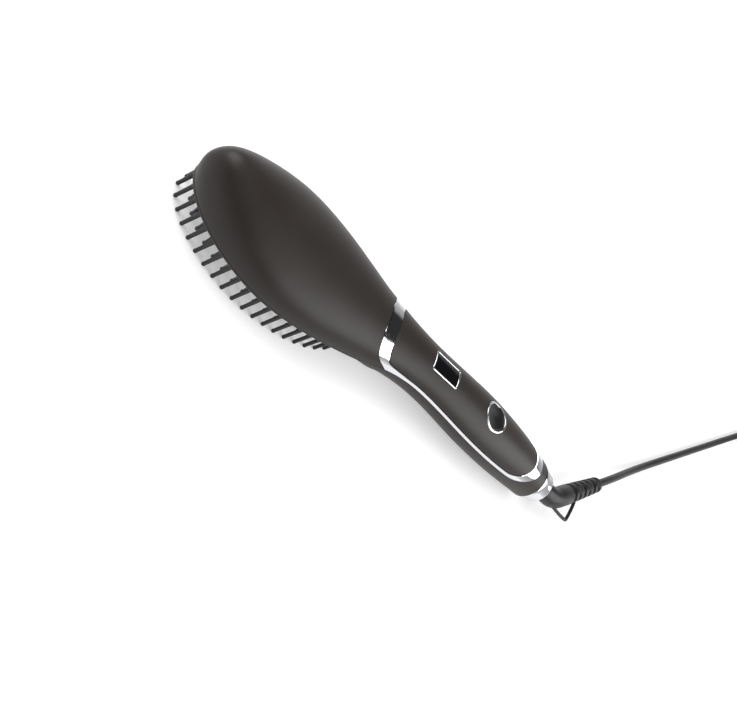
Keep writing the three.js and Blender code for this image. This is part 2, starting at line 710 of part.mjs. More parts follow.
const clearOfFairing = ([x, y]) => x < WIDEST_AT || Math.abs(y) > 8.4;
const pinPlaces = alongOpening(PIN_INSET, PIN_SPACING, 0).filter(clearOfFairing);

function pinFrame() {
  const inner = SEAM + PIN_FRAME_WIDTH;
  const top = PIN_REACH + COLLAR_HEIGHT;
  const flat = oval(SEAM, PIN_REACH, FRAME_TOP).add(oval(inner - COLLAR_WALL, PIN_REACH, top));
  return joined([flat.subtract(oval(inner, PIN_REACH - 1, top + 1)), ...pinPlaces.map(pin)]);
}

// Heater plate: its flange lies on the collar, and its teeth are three-lobed cones with ball ends
function tooth([x, y], turn) {
  const tipZ = PLATE_Z - TOOTH_HEIGHT;
  const stations = [
    [PLATE_Z + 0.6, TOOTH_BASE / 2, 0.3],
    [tipZ + TOOTH_BALL, TOOTH_NECK / 2, 0.05],
    [tipZ + TOOTH_BALL * 0.5, TOOTH_BALL / 2, 0],
    [tipZ, TOOTH_BALL * 0.25, 0],
  ];
  const rings = stations.map(([z, radius, lobes]) =>
    fromList(6, (i) => {
      const angle = deg(turn - 60 * i);
      const reach = radius * (i % 2 === 0 ? 1 : 1 - 2 * lobes);
      return new THREE.Vector3(x + reach * Math.cos(angle), y + reach * Math.sin(angle), z);
    }),
  );
  return solid(loft(rings));
}

function straightRows(border) {
  const rows = [];
  for (const row of [-1, 0, 1]) {
    const first = WIDEST_AT + (row === 0 ? 0 : ROW_SPACING / 2);
    for (let n = -8; n <= 8; n += 1) {
      const place = [first + n * ROW_SPACING, row * ROW_GAP];
      const room = Math.min(...border.map(([x, y]) => Math.hypot(x - place[0], y - place[1])));
      const within = place[0] > OPENING_FRONT + TOOTH_INSET && place[0] < OPENING_REAR - TOOTH_INSET;
      if (within && room > 6.2) rows.push(place);
    }
  }
  return rows;
}

const strapScrewPlaces = [-1, 1].map((side) => [WIDEST_AT + side * (STRAP_LENGTH / 2 - 3.5), 0]);

function heaterPlate() {
  const outline = SEAM + PIN_FRAME_WIDTH + SEAM;
  const flangeZ = PIN_REACH + COLLAR_HEIGHT + FIT;
  const flange = oval(outline - COLLAR_WALL, flangeZ, flangeZ + FLANGE_THICK);
  const bosses = strapScrewPlaces.map((place) => post(...place, PLATE_TOP - 1, STRAP_Z - FIT, 5, 12));
  const holes = strapScrewPlaces.map((place) => post(...place, PLATE_Z + 1, SKY, 2.5 + FIT, 8));
  const border = alongOpening(TOOTH_INSET, TOOTH_SPACING, 0.5);
  const outward = ([x, y]) => (Math.atan2(y, x - WIDEST_AT) * 180) / Math.PI;
  const teeth = [
    ...border.map((place) => tooth(place, outward(place))),
    ...straightRows(border).map((place) => tooth(place, 0)),
  ];
  const cast = joined([oval(outline, PLATE_Z, PLATE_TOP), flange, ...bosses, ...teeth]);
  return cast.subtract(joined(holes));
}

// Strap that presses the heater and its cover sheet on the plate
function heaterStrap() {
  const top = STRAP_Z + STRAP_THICKNESS;
  const [from, to] = [WIDEST_AT - STRAP_LENGTH / 2, WIDEST_AT + STRAP_LENGTH / 2];
  const outline = roundedRectangle(STRAP_LENGTH, STRAP_WIDTH, 5).map(([x, y]) => [x + WIDEST_AT, y]);
  const ribs = [-1, 1].map((side) => {
    const y = side * (STRAP_WIDTH / 2 - 3);
    return block([from + 9, y - 0.8, top - 0.2], [to - 9, y + 0.8, top + 1.2]);
  });
  const holes = strapScrewPlaces.map((place) => post(...place, 0, SKY, 3, 10));
  return joined([plan(outline, STRAP_Z, top), ...ribs]).subtract(joined(holes));
}

function strapScrew(place) {
  const seat = STRAP_Z + STRAP_THICKNESS + FIT / 2;
  const shank = post(...place, PLATE_Z + 1.6, seat + 0.5, 2.5, 8);
  return post(...place, seat, seat + 1.6, 4.4, 12).add(shank);
}

add('pin_frame', 'black', pinFrame());
add('heater_plate', 'navy', heaterPlate());
add('heater_element', 'white', oval(HEATER_INSET, PLATE_TOP + FIT, HEATER_TOP, 28));
add('insulating_sheet', 'mica', oval(HEATER_INSET + 0.5, HEATER_TOP + FIT, SHEET_TOP, 28));
add('heater_strap', 'steel', heaterStrap());
strapScrewPlaces.forEach((place, i) => add(`strap_screw_${i + 1}`, 'steel', strapScrew(place)));

// The thermistor lies on the plate beside the heater, and the fuse on the sheet between strap and edge
const heaterEdge = OPENING_WIDTH / 2 - HEATER_INSET;

function thermistor() {
  const [x, radius] = [WIDEST_AT + STRAP_LENGTH / 7, THERMISTOR_DIAMETER / 2];
  const y = heaterEdge + THERMISTOR_GAP + radius;
  return rod(x, x + THERMISTOR_LENGTH, y, PLATE_TOP + FIT + radius, THERMISTOR_DIAMETER);
}

function thermalFuse() {
  const x = WIDEST_AT - STRAP_LENGTH / 6;
  const z = SHEET_TOP + FIT + FUSE_DIAMETER / 2;
  return rod(x, x + FUSE_LENGTH, mix(STRAP_WIDTH / 2, heaterEdge, 0.5), z, FUSE_DIAMETER);
}

add('thermistor', 'white', thermistor());
add('thermal_fuse', 'steel', thermalFuse());

// Circuit board with its parts
function circuitBoard() {
  const [low, high] = [[BOARD_X, -BOARD_WIDTH / 2, BOARD_HEIGHT], [BOARD_LENGTH, BOARD_WIDTH, BOARD_THICKNESS]];
  const holes = pegPlaces.map((place) => post(...place, 0, SKY, PEG_DIAMETER + 2 * SEAM, 8));
  return block(low, low.map((value, i) => value + high[i])).subtract(joined(holes));
}

function displayModule() {
  const [half, side] = [DISPLAY_LENGTH / 2 - 1, DISPLAY_WIDTH / 2 - 1];
  return block([DISPLAY_X - half, -side, BOARD_TOP + FIT], [DISPLAY_X + half, side, BOARD_TOP + 4.4]);
}

const underBoard = BOARD_HEIGHT - FIT;
add('circuit_board', 'board', circuitBoard());
add('display_module', 'black', displayModule());
add('triac', 'black', block([BOARD_X + 8, -2.3, underBoard - 10], [BOARD_X + 18, 2.3, underBoard]));
add('capacitor', 'black', post(BOARD_X + 70, 0, underBoard - 11, underBoard, 8, 14));

// Swivel: a spindle with two slip rings turns between sprung contacts
const flangeEnd = BODY_LENGTH - WALL - NECK_CLEARANCE;
const flangeStart = flangeEnd - FLANGE_THICKNESS;
const spindleStart = flangeStart - SPINDLE_LENGTH;
const neckStart = flangeEnd + SEAM;
const slipRingPlaces = [0.25, 0.68].map((t) => spindleStart + t * SPINDLE_LENGTH);

function spindle() {
  const [shaft, flange, stub] = [SPINDLE_DIAMETER / 2, FLANGE_DIAMETER / 2, STUB_DIAMETER / 2];
  const end = flangeEnd + STUB_LENGTH;
  return turned([
    [spindleStart, 0],
    [spindleStart, shaft],
    [flangeStart, shaft],
    [flangeStart, flange],
    [flangeEnd, flange],
    [flangeEnd, stub],
    [end, stub],
    [end, 0],
  ], 20);
}

function slipRing(at) {
  const [low, high] = [SPINDLE_DIAMETER / 2 + FIT, SPINDLE_DIAMETER / 2 + SLIP_RING_WALL];
  const end = at + SLIP_RING_WIDTH;
  return turned([[at, low], [at, high], [end, high], [end, low], [at, low]], 20);
}

// Contact: a foot on the holder and a leaf that rises to just under its slip ring
function contactSpring(at) {
  const top = TAIL_Z - SPINDLE_DIAMETER / 2 - SLIP_RING_WALL - SEAM - LEAF_THICKNESS;
  const foot = HOLDER_TOP + FIT;
  const lower = [[-5.5, foot], [-3.2, foot], [-0.8, top], [1, top], [2.6, top - 1]];
  const upper = lower.map(([y, z]) => [y, z + LEAF_THICKNESS]).reverse();
  const leaf = sideView([...lower, ...upper], LEAF_WIDTH);
  return leaf.rotate([0, 0, 90]).translate([at + SLIP_RING_WIDTH / 2, 0, 0]);
}

function contactHolder() {
  const high = [flangeStart - 1.2, 6.5, HOLDER_TOP];
  return block([spindleStart - 1.5, -6.5, -1], high).intersect(body(WALL + FIT));
}

function tailRing() {
  const [from, to, half] = [BODY_LENGTH + SEAM, OVERALL_LENGTH, BODY_LENGTH + TAIL_RING_LENGTH / 2];
  const [bore, lip] = [BORE_DIAMETER / 2, BORE_DIAMETER / 2 + BORE_LIP + FIT];
  const step = BODY_LENGTH + BORE_LIP_LENGTH + FIT;
  const [wide, narrow] = [TAIL_DIAMETER / 2 - 0.2, RING_END_DIAMETER / 2];
  return turned([
    [from, lip],
    [from, wide - 0.4],
    [from + 0.5, wide],
    [half, mix(wide, narrow, 0.42)],
    [to - 0.8, narrow],
    [to, narrow - 0.8],
    [to, bore],
    [step, bore],
    [step, lip],
    [from, lip],
  ], 20);
}

add('tail_ring', 'chrome', tailRing());
add('swivel_spindle', 'black', spindle());
slipRingPlaces.forEach((at, i) => add(`slip_ring_${i + 1}`, 'brass', slipRing(at)));
slipRingPlaces.forEach((at, i) => add(`contact_spring_${i + 1}`, 'brass', contactSpring(at)));
add('contact_holder', 'black', contactHolder());

// Strain relief: a neck through the tail, a bend, a smooth sleeve and a ribbed taper, with a loop on it
const elbowX = OVERALL_LENGTH + ELBOW_AT;
const bend = deg(ELBOW_ANGLE);
const [alongX, alongY] = [Math.cos(bend), Math.sin(bend)];
const fromElbow = (along, out) => [elbowX + along * alongX + out * alongY, along * alongY - out * alongX];
const bendReach = ELBOW_RADIUS * Math.tan(bend / 2);
const ribsAt = bendReach + SLEEVE_LENGTH;
const bootEnd = ribsAt + RIBBED_LENGTH;

function bootRing([x, y], angle, radius) {
  return fromList(12, (i) => {
    const turn = (2 * Math.PI * i) / 12;
    const across = radius * Math.cos(turn);
    const side = [x - across * Math.sin(angle), y + across * Math.cos(angle)];
    return new THREE.Vector3(...side, TAIL_Z + radius * Math.sin(turn));
  });
}

function bootRings() {
  const neck = BORE_DIAMETER / 2 - NECK_CLEARANCE;
  const root = BOOT_ROOT / 2;
  const rings = [bootRing([neckStart, 0], 0, neck), bootRing([OVERALL_LENGTH + 0.6, 0], 0, neck)];
  for (const t of [0, 0.2, 0.4, 0.6, 0.8, 1]) {
    const x = elbowX - bendReach + ELBOW_RADIUS * Math.sin(bend * t);
    rings.push(bootRing([x, ELBOW_RADIUS * (1 - Math.cos(bend * t))], bend * t, root));
  }
  const pitch = RIBBED_LENGTH / RIB_COUNT;
  for (let n = 0; n < RIB_COUNT; n += 1) {
    for (const [step, depth] of [[0, 0], [0.12, RIB_GROOVE], [0.4, RIB_GROOVE], [0.52, 0]]) {
      const radius = mix(root, BOOT_END / 2, (n + step) / RIB_COUNT);
      rings.push(bootRing(fromElbow(ribsAt + (n + step) * pitch, 0), bend, radius - depth));
    }
  }
  rings.push(bootRing(fromElbow(bootEnd - 0.8, 0), bend, BOOT_END / 2));
  rings.push(bootRing(fromElbow(bootEnd, 0), bend, BOOT_END / 2 - 0.8));
  return rings;
}

function hangingLoop() {
  const corner = LOOP_START + 0.375 * LOOP_LENGTH;
  const end = LOOP_START + LOOP_LENGTH;
  const wire = [
    [LOOP_START - 1, 4],
    [mix(LOOP_START, corner, 0.5), mix(6, LOOP_DEPTH, 0.52)],
    [corner - 1.6, LOOP_DEPTH - 1.3],
    [corner, LOOP_DEPTH - 0.4],
    [corner + 1.9, LOOP_DEPTH - 1.2],
    [mix(corner, end, 0.6), mix(LOOP_DEPTH, 5.5, 0.6)],
    [end + 1.5, 3.4],
  ];
  return tube(wire.map(([along, out]) => [...fromElbow(along, out), TAIL_Z]), LOOP_WIRE, 6, 14);
}

function swivelBoot() {
  const [radius, end] = [STUB_DIAMETER / 2 + SEAM, flangeEnd + STUB_LENGTH + SEAM];
  const socket = turned([[neckStart - 1, 0], [neckStart - 1, radius], [end, radius], [end, 0]], 16);
  return solid(loft(bootRings())).add(hangingLoop()).subtract(socket);
}

add('swivel_boot', 'black', swivelBoot());

// Cord: straight out of the boot, down to the floor and along it to the coil
const floorZ = CORD_DIAMETER / 2 + 0.1;
const coilZ = floorZ + TIE_THICKNESS + TIE_GAP + 0.1;
const cordAt = (along, z) => [...fromElbow(bootEnd + along, 0), z];
const cordPoints = [
  cordAt(SEAM, TAIL_Z),
  cordAt(9, TAIL_Z),
  cordAt(32, 11),
  cordAt(62, 6.4),
  cordAt(94, 3.5),
  cordAt(130, floorZ),
  cordAt(170, floorZ),
  cordAt(220, floorZ),
  cordAt(290, floorZ),
  cordAt(CORD_OUT - 24, mix(floorZ, coilZ, 0.5)),
  cordAt(CORD_OUT - 7, coilZ),
  cordAt(CORD_OUT - SEAM, coilZ),
];

// Coil: a lower layer that winds in, a half turn that climbs, and an upper layer that winds out
const outerRadius = (COIL_MEAN_DIAMETER + COIL_LAYER_TURNS * COIL_PITCH) / 2;
const ahead = new THREE.Vector3(alongX, alongY, 0);
const right = new THREE.Vector3(alongY, -alongX, 0);
const coilStart = new THREE.Vector3(...cordAt(CORD_OUT, coilZ));
const coilEntry = coilStart.clone().addScaledVector(ahead, CORD_DIAMETER);
const coilCentre = coilEntry.clone().addScaledVector(right, outerRadius);
const startAngle = Math.atan2(-right.y, -right.x);
const coilTurns = 2 * COIL_LAYER_TURNS + 0.5;

function coilPoint(turns) {
  const inward = Math.min(turns, coilTurns - turns);
  const radius = outerRadius - COIL_PITCH * inward;
  const angle = startAngle - 2 * Math.PI * turns;
  const lift = COIL_PITCH * ease(COIL_LAYER_TURNS, COIL_LAYER_TURNS + 0.5, turns);
  const place = new THREE.Vector3(radius * Math.cos(angle), radius * Math.sin(angle), lift);
  return place.add(coilCentre);
}

const windings = fromList(coilTurns * COIL_STEPS + 1, (i) => coilPoint(i / COIL_STEPS));
const coilExit = windings.at(-1).clone().addScaledVector(ahead, CORD_DIAMETER);

// A path made of straight pieces, one step of the sweep for each
class Polyline extends THREE.Curve {
  constructor(points) {
    super();
    this.points = points;
  }

  getPoint(t) {
    const place = t * (this.points.length - 1);
    const i = Math.min(Math.floor(place + 1e-9), this.points.length - 2);
    return this.points[i].clone().lerp(this.points[i + 1], place - i);
  }

  getPointAt(t) {
    return this.getPoint(t);
  }

  getTangentAt(t) {
    const last = this.points.length - 1;
    const i = Math.round(t * last);
    return this.points[Math.min(i + 1, last)].clone().sub(this.points[Math.max(i - 1, 0)]).normalize();
  }
}

// Least clear distance between places of the coil that are more than half a turn apart
function leastGap() {
  const fine = fromList(coilTurns * 96 + 1, (i) => coilPoint(i / 96));
  const apart = fine.flatMap((point, i) => fine.slice(i + 48).map((other) => point.distanceTo(other)));
  return apart.reduce((least, value) => Math.min(least, value)) - CORD_DIAMETER;
}

function cordCoil() {
  const path = new Polyline([coilStart, ...windings, coilExit]);
  return sweep(path, CORD_DIAMETER, COIL_SIDES, path.points.length - 1);
}

// Tie: a band round the bundle, opposite the place where the cord comes in
function cordTie() {
  const turn = startAngle + Math.PI;
  const out = new THREE.Vector3(Math.cos(turn), Math.sin(turn), 0);
  const near = windings.map((point) => point.clone().sub(coilCentre)).filter((point) => point.dot(out) > 0);
  const held = near.filter((point) => Math.abs(point.x * out.y - point.y * out.x) < TIE_WIDTH);
  const reaches = held.map((point) => point.dot(out));
  const clear = CORD_DIAMETER / 2 + TIE_GAP;
  const [low, high] = [Math.min(...reaches) - clear, Math.max(...reaches) + clear + 0.4];
  const [bottom, top] = [coilZ - clear, coilZ + COIL_PITCH + clear];
  const frame = (grow) => [
    [low - grow, bottom - grow],
    [high + grow, bottom - grow],
    [high + grow, top + grow],
    [low - grow, top + grow],
  ];
  const band = sideView(frame(TIE_THICKNESS), TIE_WIDTH).subtract(sideView(frame(0), TIE_WIDTH + 2));
  return band.rotate([0, 0, (turn * 180) / Math.PI]).translate([coilCentre.x, coilCentre.y, 0]);
}

const tailSteps = [[SEAM, 0], [8, 0], [28, 0.55], [46, 1], [54, 1]];
const tailPoints = tailSteps.map(([along, drop]) => {
  const place = coilExit.clone().addScaledVector(ahead, along);
  return [place.x, place.y, mix(place.z, PLUG_HEIGHT / 2, drop)];
});

add('cord_run', 'cord', tube(cordPoints, CORD_DIAMETER, 8, 26));
add('cord_coil', 'cord', cordCoil());
add('cord_tie', 'black', cordTie());
add('cord_tail', 'cord', tube(tailPoints, CORD_DIAMETER, 8, 8));

// Plug: a flat two-pin body that tapers into its own ribbed relief
const plugFace = PLUG_LENGTH + PLUG_RELIEF;

function onPlug(shape) {
  const [x, y] = tailPoints.at(-1);
  const place = [x + SEAM * alongX, y + SEAM * alongY, PLUG_HEIGHT / 2];
  return shape.rotate([0, 0, ELBOW_ANGLE]).translate(place);
}

function plugRing(x, width, height, square) {
  return fromList(16, (i) => {
    const [c, s] = [Math.cos(deg(22.5 * i)), Math.sin(deg(22.5 * i))];
    const y = (width / 2) * Math.sign(c) * Math.abs(c) ** (2 / square);
    return new THREE.Vector3(x, y, (height / 2) * Math.sign(s) * Math.abs(s) ** (2 / square));
  });
}

function plugBody() {
  const rings = [plugRing(0, 8, 8, 2)];
  for (let n = 0; n < 3; n += 1) {
    const size = mix(8, 10.4, n / 3);
    for (const [step, groove] of [[1, 0], [3.4, 0], [3.7, 1.8], [5.7, 1.8]]) {
      rings.push(plugRing(n * 5 + step, size - groove, size - groove, 2));
    }
  }
  rings.push(plugRing(PLUG_RELIEF - 2, 11, 11, 2));
  rings.push(plugRing(PLUG_RELIEF + 3, 14, 12.4, 2.4));
  rings.push(plugRing(PLUG_RELIEF + 12, 27, PLUG_HEIGHT, 3.2));
  rings.push(plugRing(PLUG_RELIEF + 20, PLUG_WIDTH - 1.7, PLUG_HEIGHT, 4));
  rings.push(plugRing(plugFace - 1, PLUG_WIDTH, PLUG_HEIGHT, 4.5));
  rings.push(plugRing(plugFace, PLUG_WIDTH - 1.6, PLUG_HEIGHT - 1.6, 4.5));
  const holes = [-1, 1].map((side) => {
    const y = (side * PLUG_PIN_SPREAD) / 2;
    return rod(plugFace - 4, plugFace + 2, y, 0, PLUG_PIN_DIAMETER + 2 * FIT, 12);
  });
  return onPlug(solid(loft(rings)).subtract(joined(holes)));
}

function plugPin(side) {
  const radius = PLUG_PIN_DIAMETER / 2;
  const [from, to] = [plugFace - 4 + FIT, plugFace + PLUG_PIN_LENGTH];
  const profile = [
    [0, from],
    [radius, from],
    [radius, to - 1.6],
    [radius * 0.75, to - 0.5],
    [radius * 0.3, to],
    [0, to],
  ];
  const points = profile.map(([reach, along]) => new THREE.Vector2(reach, along));
  const geometry = new THREE.LatheGeometry(points, 12).rotateZ(-Math.PI / 2);
  return onPlug(solid(geometry.translate(0, (side * PLUG_PIN_SPREAD) / 2, 0)));
}

add('plug_body', 'cord', plugBody());
add('plug_pin_1', 'brass', plugPin(-1));
add('plug_pin_2', 'brass', plugPin(1));

// Insulated leads: heater to board through the neck, and contacts to board at the tail
function heaterLead(side) {
  const start = SHEET_TOP + FIT + LEAD_DIAMETER / 2;
  const end = BOARD_TOP + FIT + LEAD_DIAMETER / 2;
  return tube([
    [WIDEST_AT + 30, side * 10.5, start],
    [WIDEST_AT + 42, side * 10.5, start + 0.6],
    [HEAD_LENGTH - 6, side * 9, end],
    [HEAD_LENGTH + 5, side * 6.8, end + 1.2],
    [HEAD_LENGTH + 16, side * 5.4, end + 1],
    [BOARD_X + 1, side * 5, end],
    [BOARD_X + 4, side * 5, end],
  ], LEAD_DIAMETER, 5, 14);
}

function supplyLead(side) {
  const start = HOLDER_TOP + FIT + LEAD_DIAMETER / 2;
  const end = BOARD_TOP + FIT + LEAD_DIAMETER / 2;
  const boardEnd = BOARD_X + BOARD_LENGTH;
  return tube([
    [spindleStart + 1.5, side * 5.4, start],
    [spindleStart - 3, side * 5.4, start + 1],
    [boardEnd + 12, side * 5.2, start + 6],
    [boardEnd + 7, side * 5, 20],
    [boardEnd + 3, side * 5, end - 0.4],
    [boardEnd + 0.5, side * 5, end + 0.2],
    [boardEnd - 2.2, side * 5, end],
  ], LEAD_DIAMETER, 5, 13);
}

add('heater_lead_1', 'white', heaterLead(-1));
add('heater_lead_2', 'white', heaterLead(1));
add('supply_lead_1', 'black', supplyLead(-1));
add('supply_lead_2', 'black', supplyLead(1));

console.log(`coil: least gap ${leastGap().toFixed(2)} mm over ${coilTurns} turns`);

export default root;
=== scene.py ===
import math

import bmesh
import bpy
import numpy as np
from mathutils import Matrix, Vector


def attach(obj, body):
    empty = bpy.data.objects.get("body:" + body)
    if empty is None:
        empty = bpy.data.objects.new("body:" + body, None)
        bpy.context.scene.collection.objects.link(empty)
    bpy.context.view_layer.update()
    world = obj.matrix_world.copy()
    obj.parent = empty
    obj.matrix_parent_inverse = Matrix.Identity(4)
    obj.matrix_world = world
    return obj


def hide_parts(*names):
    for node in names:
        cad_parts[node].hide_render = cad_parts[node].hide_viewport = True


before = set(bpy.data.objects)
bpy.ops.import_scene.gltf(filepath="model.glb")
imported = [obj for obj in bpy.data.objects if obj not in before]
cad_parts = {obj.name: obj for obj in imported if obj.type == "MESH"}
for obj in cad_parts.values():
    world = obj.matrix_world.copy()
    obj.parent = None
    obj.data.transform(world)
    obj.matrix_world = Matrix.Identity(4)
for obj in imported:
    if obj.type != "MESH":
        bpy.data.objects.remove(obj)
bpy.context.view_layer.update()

# Camera: it looks down from beyond the tip of the head, turned so that the brush lies slantwise in
# the picture. Points of the brush with known places gave its own place and lens.
camera = bpy.data.objects.new("camera", bpy.data.cameras.new("camera"))
looking = Vector((0.4889, 0.5569, -0.6714)).normalized()
across_picture = Vector((0.6528, 0.277, 0.7051)).normalized()
up_picture = (-looking).cross(across_picture)
facing = Matrix((across_picture, up_picture, -looking)).transposed()
camera.matrix_world = Matrix.Translation((-0.22475, -0.2497, 0.3013)) @ facing.to_4x4()
camera.data.sensor_width = 36
camera.data.lens = 40.245
bpy.context.collection.objects.link(camera)
bpy.context.scene.camera = camera
bpy.context.scene.view_settings.view_transform = "Standard"

# Strain relief: a black PVC boot moulded on the cord, with a bend, a ribbed taper and a wire loop
# to hang the brush by. Its neck turns in the tail. Here and below, lengths are millimetres, and
# places along the brush are counted from the tip of the head.
HEAD_LENGTH = 121.8
HANDLE_LENGTH = 152.5
BODY_LENGTH = HEAD_LENGTH + HANDLE_LENGTH
OVERALL_LENGTH = BODY_LENGTH + 11
TAIL_DIAMETER = 26.2
TAIL_Z = TAIL_DIAMETER / 2
BEND = math.radians(39)
BEND_RADIUS = 15
BEND_REACH = BEND_RADIUS * math.tan(BEND / 2)
SLEEVE_LENGTH = 11
RIBBED_LENGTH = 40
RIB_COUNT = 6
RIB_GROOVE = 1.35
BOOT_END = BEND_REACH + SLEEVE_LENGTH + RIBBED_LENGTH
BOOT_ROOT_RADIUS = 6.7
BOOT_END_RADIUS = 5.3
BOOT_NECK_RADIUS = 6.55
NECK_DEPTH = 2
NECK_GAP = 0.05
RIB_SLOT = [
    (0, 0), (0.05, 0.12), (0.09, 0.5), (0.14, 0.9), (0.2, 1),
    (0.42, 1), (0.48, 0.9), (0.53, 0.5), (0.57, 0.12), (0.62, 0),
]
LOOP_WIRE = 2.2
LOOP_START = -1.5
LOOP_END = 26.5
LOOP_DEPTH = 15.4
ELBOW = Vector((OVERALL_LENGTH + 16, 0, TAIL_Z))
AHEAD = Vector((math.cos(BEND), math.sin(BEND), 0))
ASIDE = Vector((math.sin(BEND), -math.cos(BEND), 0))
UP = Vector((0, 0, 1))
TO_ROW = Matrix.Scale(0.001, 4) @ Matrix.Translation((-OVERALL_LENGTH / 2, 0, 0))


def mix(a, b, share):
    return a + (b - a) * share


def ease(start, end, x):
    """0 before the start, 1 after the end, and a smooth rise between them"""
    return (1 - np.cos(np.pi * np.clip((x - start) / (end - start), 0, 1))) / 2


def round_places(count):
    return [2 * math.pi * i / count for i in range(count)]


def ring_across(centre, heading, radius, count=40):
    """A ring of points square to a level line with that heading. The radius may be a function of
    the angle."""
    side = Vector((-math.sin(heading), math.cos(heading), 0))
    reach = radius if callable(radius) else lambda turn: radius
    ways = [(t, math.cos(t) * side + math.sin(t) * UP) for t in round_places(count)]
    return [centre + reach(t) * way for t, way in ways]


def skin_over(rings):
    """A closed solid: a flat grid bent so that its rows are the rings, with its ends filled"""
    bm = bmesh.new()
    rows, around = len(rings) - 1, len(rings[0])
    for vert in bmesh.ops.create_grid(bm, x_segments=around, y_segments=rows, size=1)["verts"]:
        column = round((vert.co.x + 1) * around / 2) % around
        row = round((vert.co.y + 1) * rows / 2)
        vert.co = rings[row][column]
    bmesh.ops.remove_doubles(bm, verts=bm.verts, dist=1e-6)
    bmesh.ops.holes_fill(bm, edges=[edge for edge in bm.edges if edge.is_boundary])
    bmesh.ops.recalc_face_normals(bm, faces=bm.faces)
    return bm


def smooth_route(points, steps):
    """Places along one smooth curve through the points, with as many steps between each two"""
    points = [Vector(point) for point in points]
    ends = [2 * points[0] - points[1], *points, 2 * points[-1] - points[-2]]
    route = []
    for a, b, c, d in zip(ends, ends[1:], ends[2:], ends[3:]):
        before, between, after = ((q - p).length ** 0.5 for p, q in ((a, b), (b, c), (c, d)))
        leaving = (b - a) / before - (c - a) / (before + between) + (c - b) / between
        arriving = (c - b) / between - (d - b) / (between + after) + (d - c) / after
        leaving, arriving = leaving * between, arriving * between
        for t in (i / steps for i in range(steps)):
            bow = t * t * (3 * (c - b) - 2 * leaving - arriving)
            route.append(b + t * leaving + bow + t**3 * (2 * (b - c) + leaving + arriving))
    return [*route, points[-1]]


def carved(solid, *steps):
    """A solid after others are joined to it or cut from it, given as (operation, solid) pairs"""
    made = []
    for bm in (solid, *(tool for _, tool in steps)):
        made.append(bpy.data.objects.new("solid", bpy.data.meshes.new("solid")))
        bm.to_mesh(made[-1].data)
        bm.free()
        bpy.context.collection.objects.link(made[-1])
    for (operation, _), tool in zip(steps, made[1:]):
        step = made[0].modifiers.new(operation, "BOOLEAN")
        step.operation, step.solver, step.object = operation, "MANIFOLD", tool
    result = bmesh.new()
    result.from_object(made[0], bpy.context.evaluated_depsgraph_get())
    for thing in made:
        bpy.data.meshes.remove(thing.data)
    return result


def piece(name, bm, material, sharp_from=32):
    """A smooth, named object from a solid in millimetres, with its place in its mesh"""
    bmesh.ops.transform(bm, matrix=TO_ROW, verts=bm.verts)
    mesh = bpy.data.meshes.new(name)
    bm.to_mesh(mesh)
    bm.free()
    mesh.materials.append(material)
    mesh.shade_smooth()
    mesh.set_sharp_from_angle(angle=math.radians(sharp_from))
    thing = bpy.data.objects.new(name, mesh)
    bpy.context.collection.objects.link(thing)
    return thing


def linear(hex_colour):
    """A colour written as sRGB hex, as the shaders take it"""
    parts = [int(hex_colour[i : i + 2], 16) / 255 for i in (1, 3, 5)]
    return [*(p / 12.92 if p <= 0.04045 else ((p + 0.055) / 1.055) ** 2.4 for p in parts), 1]


def add_node(material, kind, inputs=(), **settings):
    """Adds a node with its settings, and its inputs as values or as links from other outputs"""
    node = material.node_tree.nodes.new("ShaderNode" + kind)
    for name, value in settings.items():
        setattr(node, name, value)
    for name, value in dict(inputs).items():
        if isinstance(value, bpy.types.NodeSocket):
            material.node_tree.links.new(value, node.inputs[name])
        else:
            node.inputs[name].default_value = value
    return node


def bare_material(name):
    material = bpy.data.materials.new(name)
    material.use_nodes = True
    material.node_tree.nodes.clear()
    return material


def finish_surface(material, sockets):
    """Ends a material with its shader, given the values and links of the shader's sockets"""
    skin = add_node(material, "BsdfPrincipled", sockets)
    add_node(material, "OutputMaterial", {"Surface": skin.outputs["BSDF"]})


def patchy_finish(name, tones, patches, spread, grain, relief, roughness, rest):
    """A finish whose tone drifts in patches, over a fine grain. Its roughness is one value, or a
    pair between which the patches take it."""
    material = bare_material(name)
    place = add_node(material, "TexCoord").outputs["Object"]
    cloud = add_node(material, "TexNoise", {"Vector": place, **patches}).outputs["Fac"]
    fine = add_node(material, "TexNoise", {"Vector": place, **grain}).outputs["Fac"]
    tone = add_node(material, "ValToRGB", {"Fac": cloud})
    for stop, position, colour in zip(tone.color_ramp.elements, spread, tones):
        stop.position, stop.color = position, linear(colour)
    if isinstance(roughness, tuple):
        glossy, dull = roughness
        wear = {"Value": cloud, "From Min": 0.3, "From Max": 0.7, "To Min": glossy, "To Max": dull}
        roughness = add_node(material, "MapRange", wear).outputs["Result"]
    bump = add_node(material, "Bump", {"Height": fine, **relief})
    finish_surface(material, {
        "Base Color": tone.outputs["Color"],
        "Roughness": roughness,
        "Normal": bump.outputs["Normal"],
        **rest,
    })
    return material


# PVC, moulded: a satin black skin with a slight blue cast, faintly uneven from the mould
pvc = patchy_finish(
    "moulded_black_pvc",
    tones=("#0e0e0f", "#151516"),
    patches={"Scale": 90, "Detail": 3},
    spread=(0.3, 0.7),
    grain={"Scale": 1600, "Detail": 2},
    relief={"Strength": 0.25, "Distance": 0.0001},
    roughness=(0.4, 0.5),
    rest={"IOR": 1.53, "Specular IOR Level": 0.36},
)


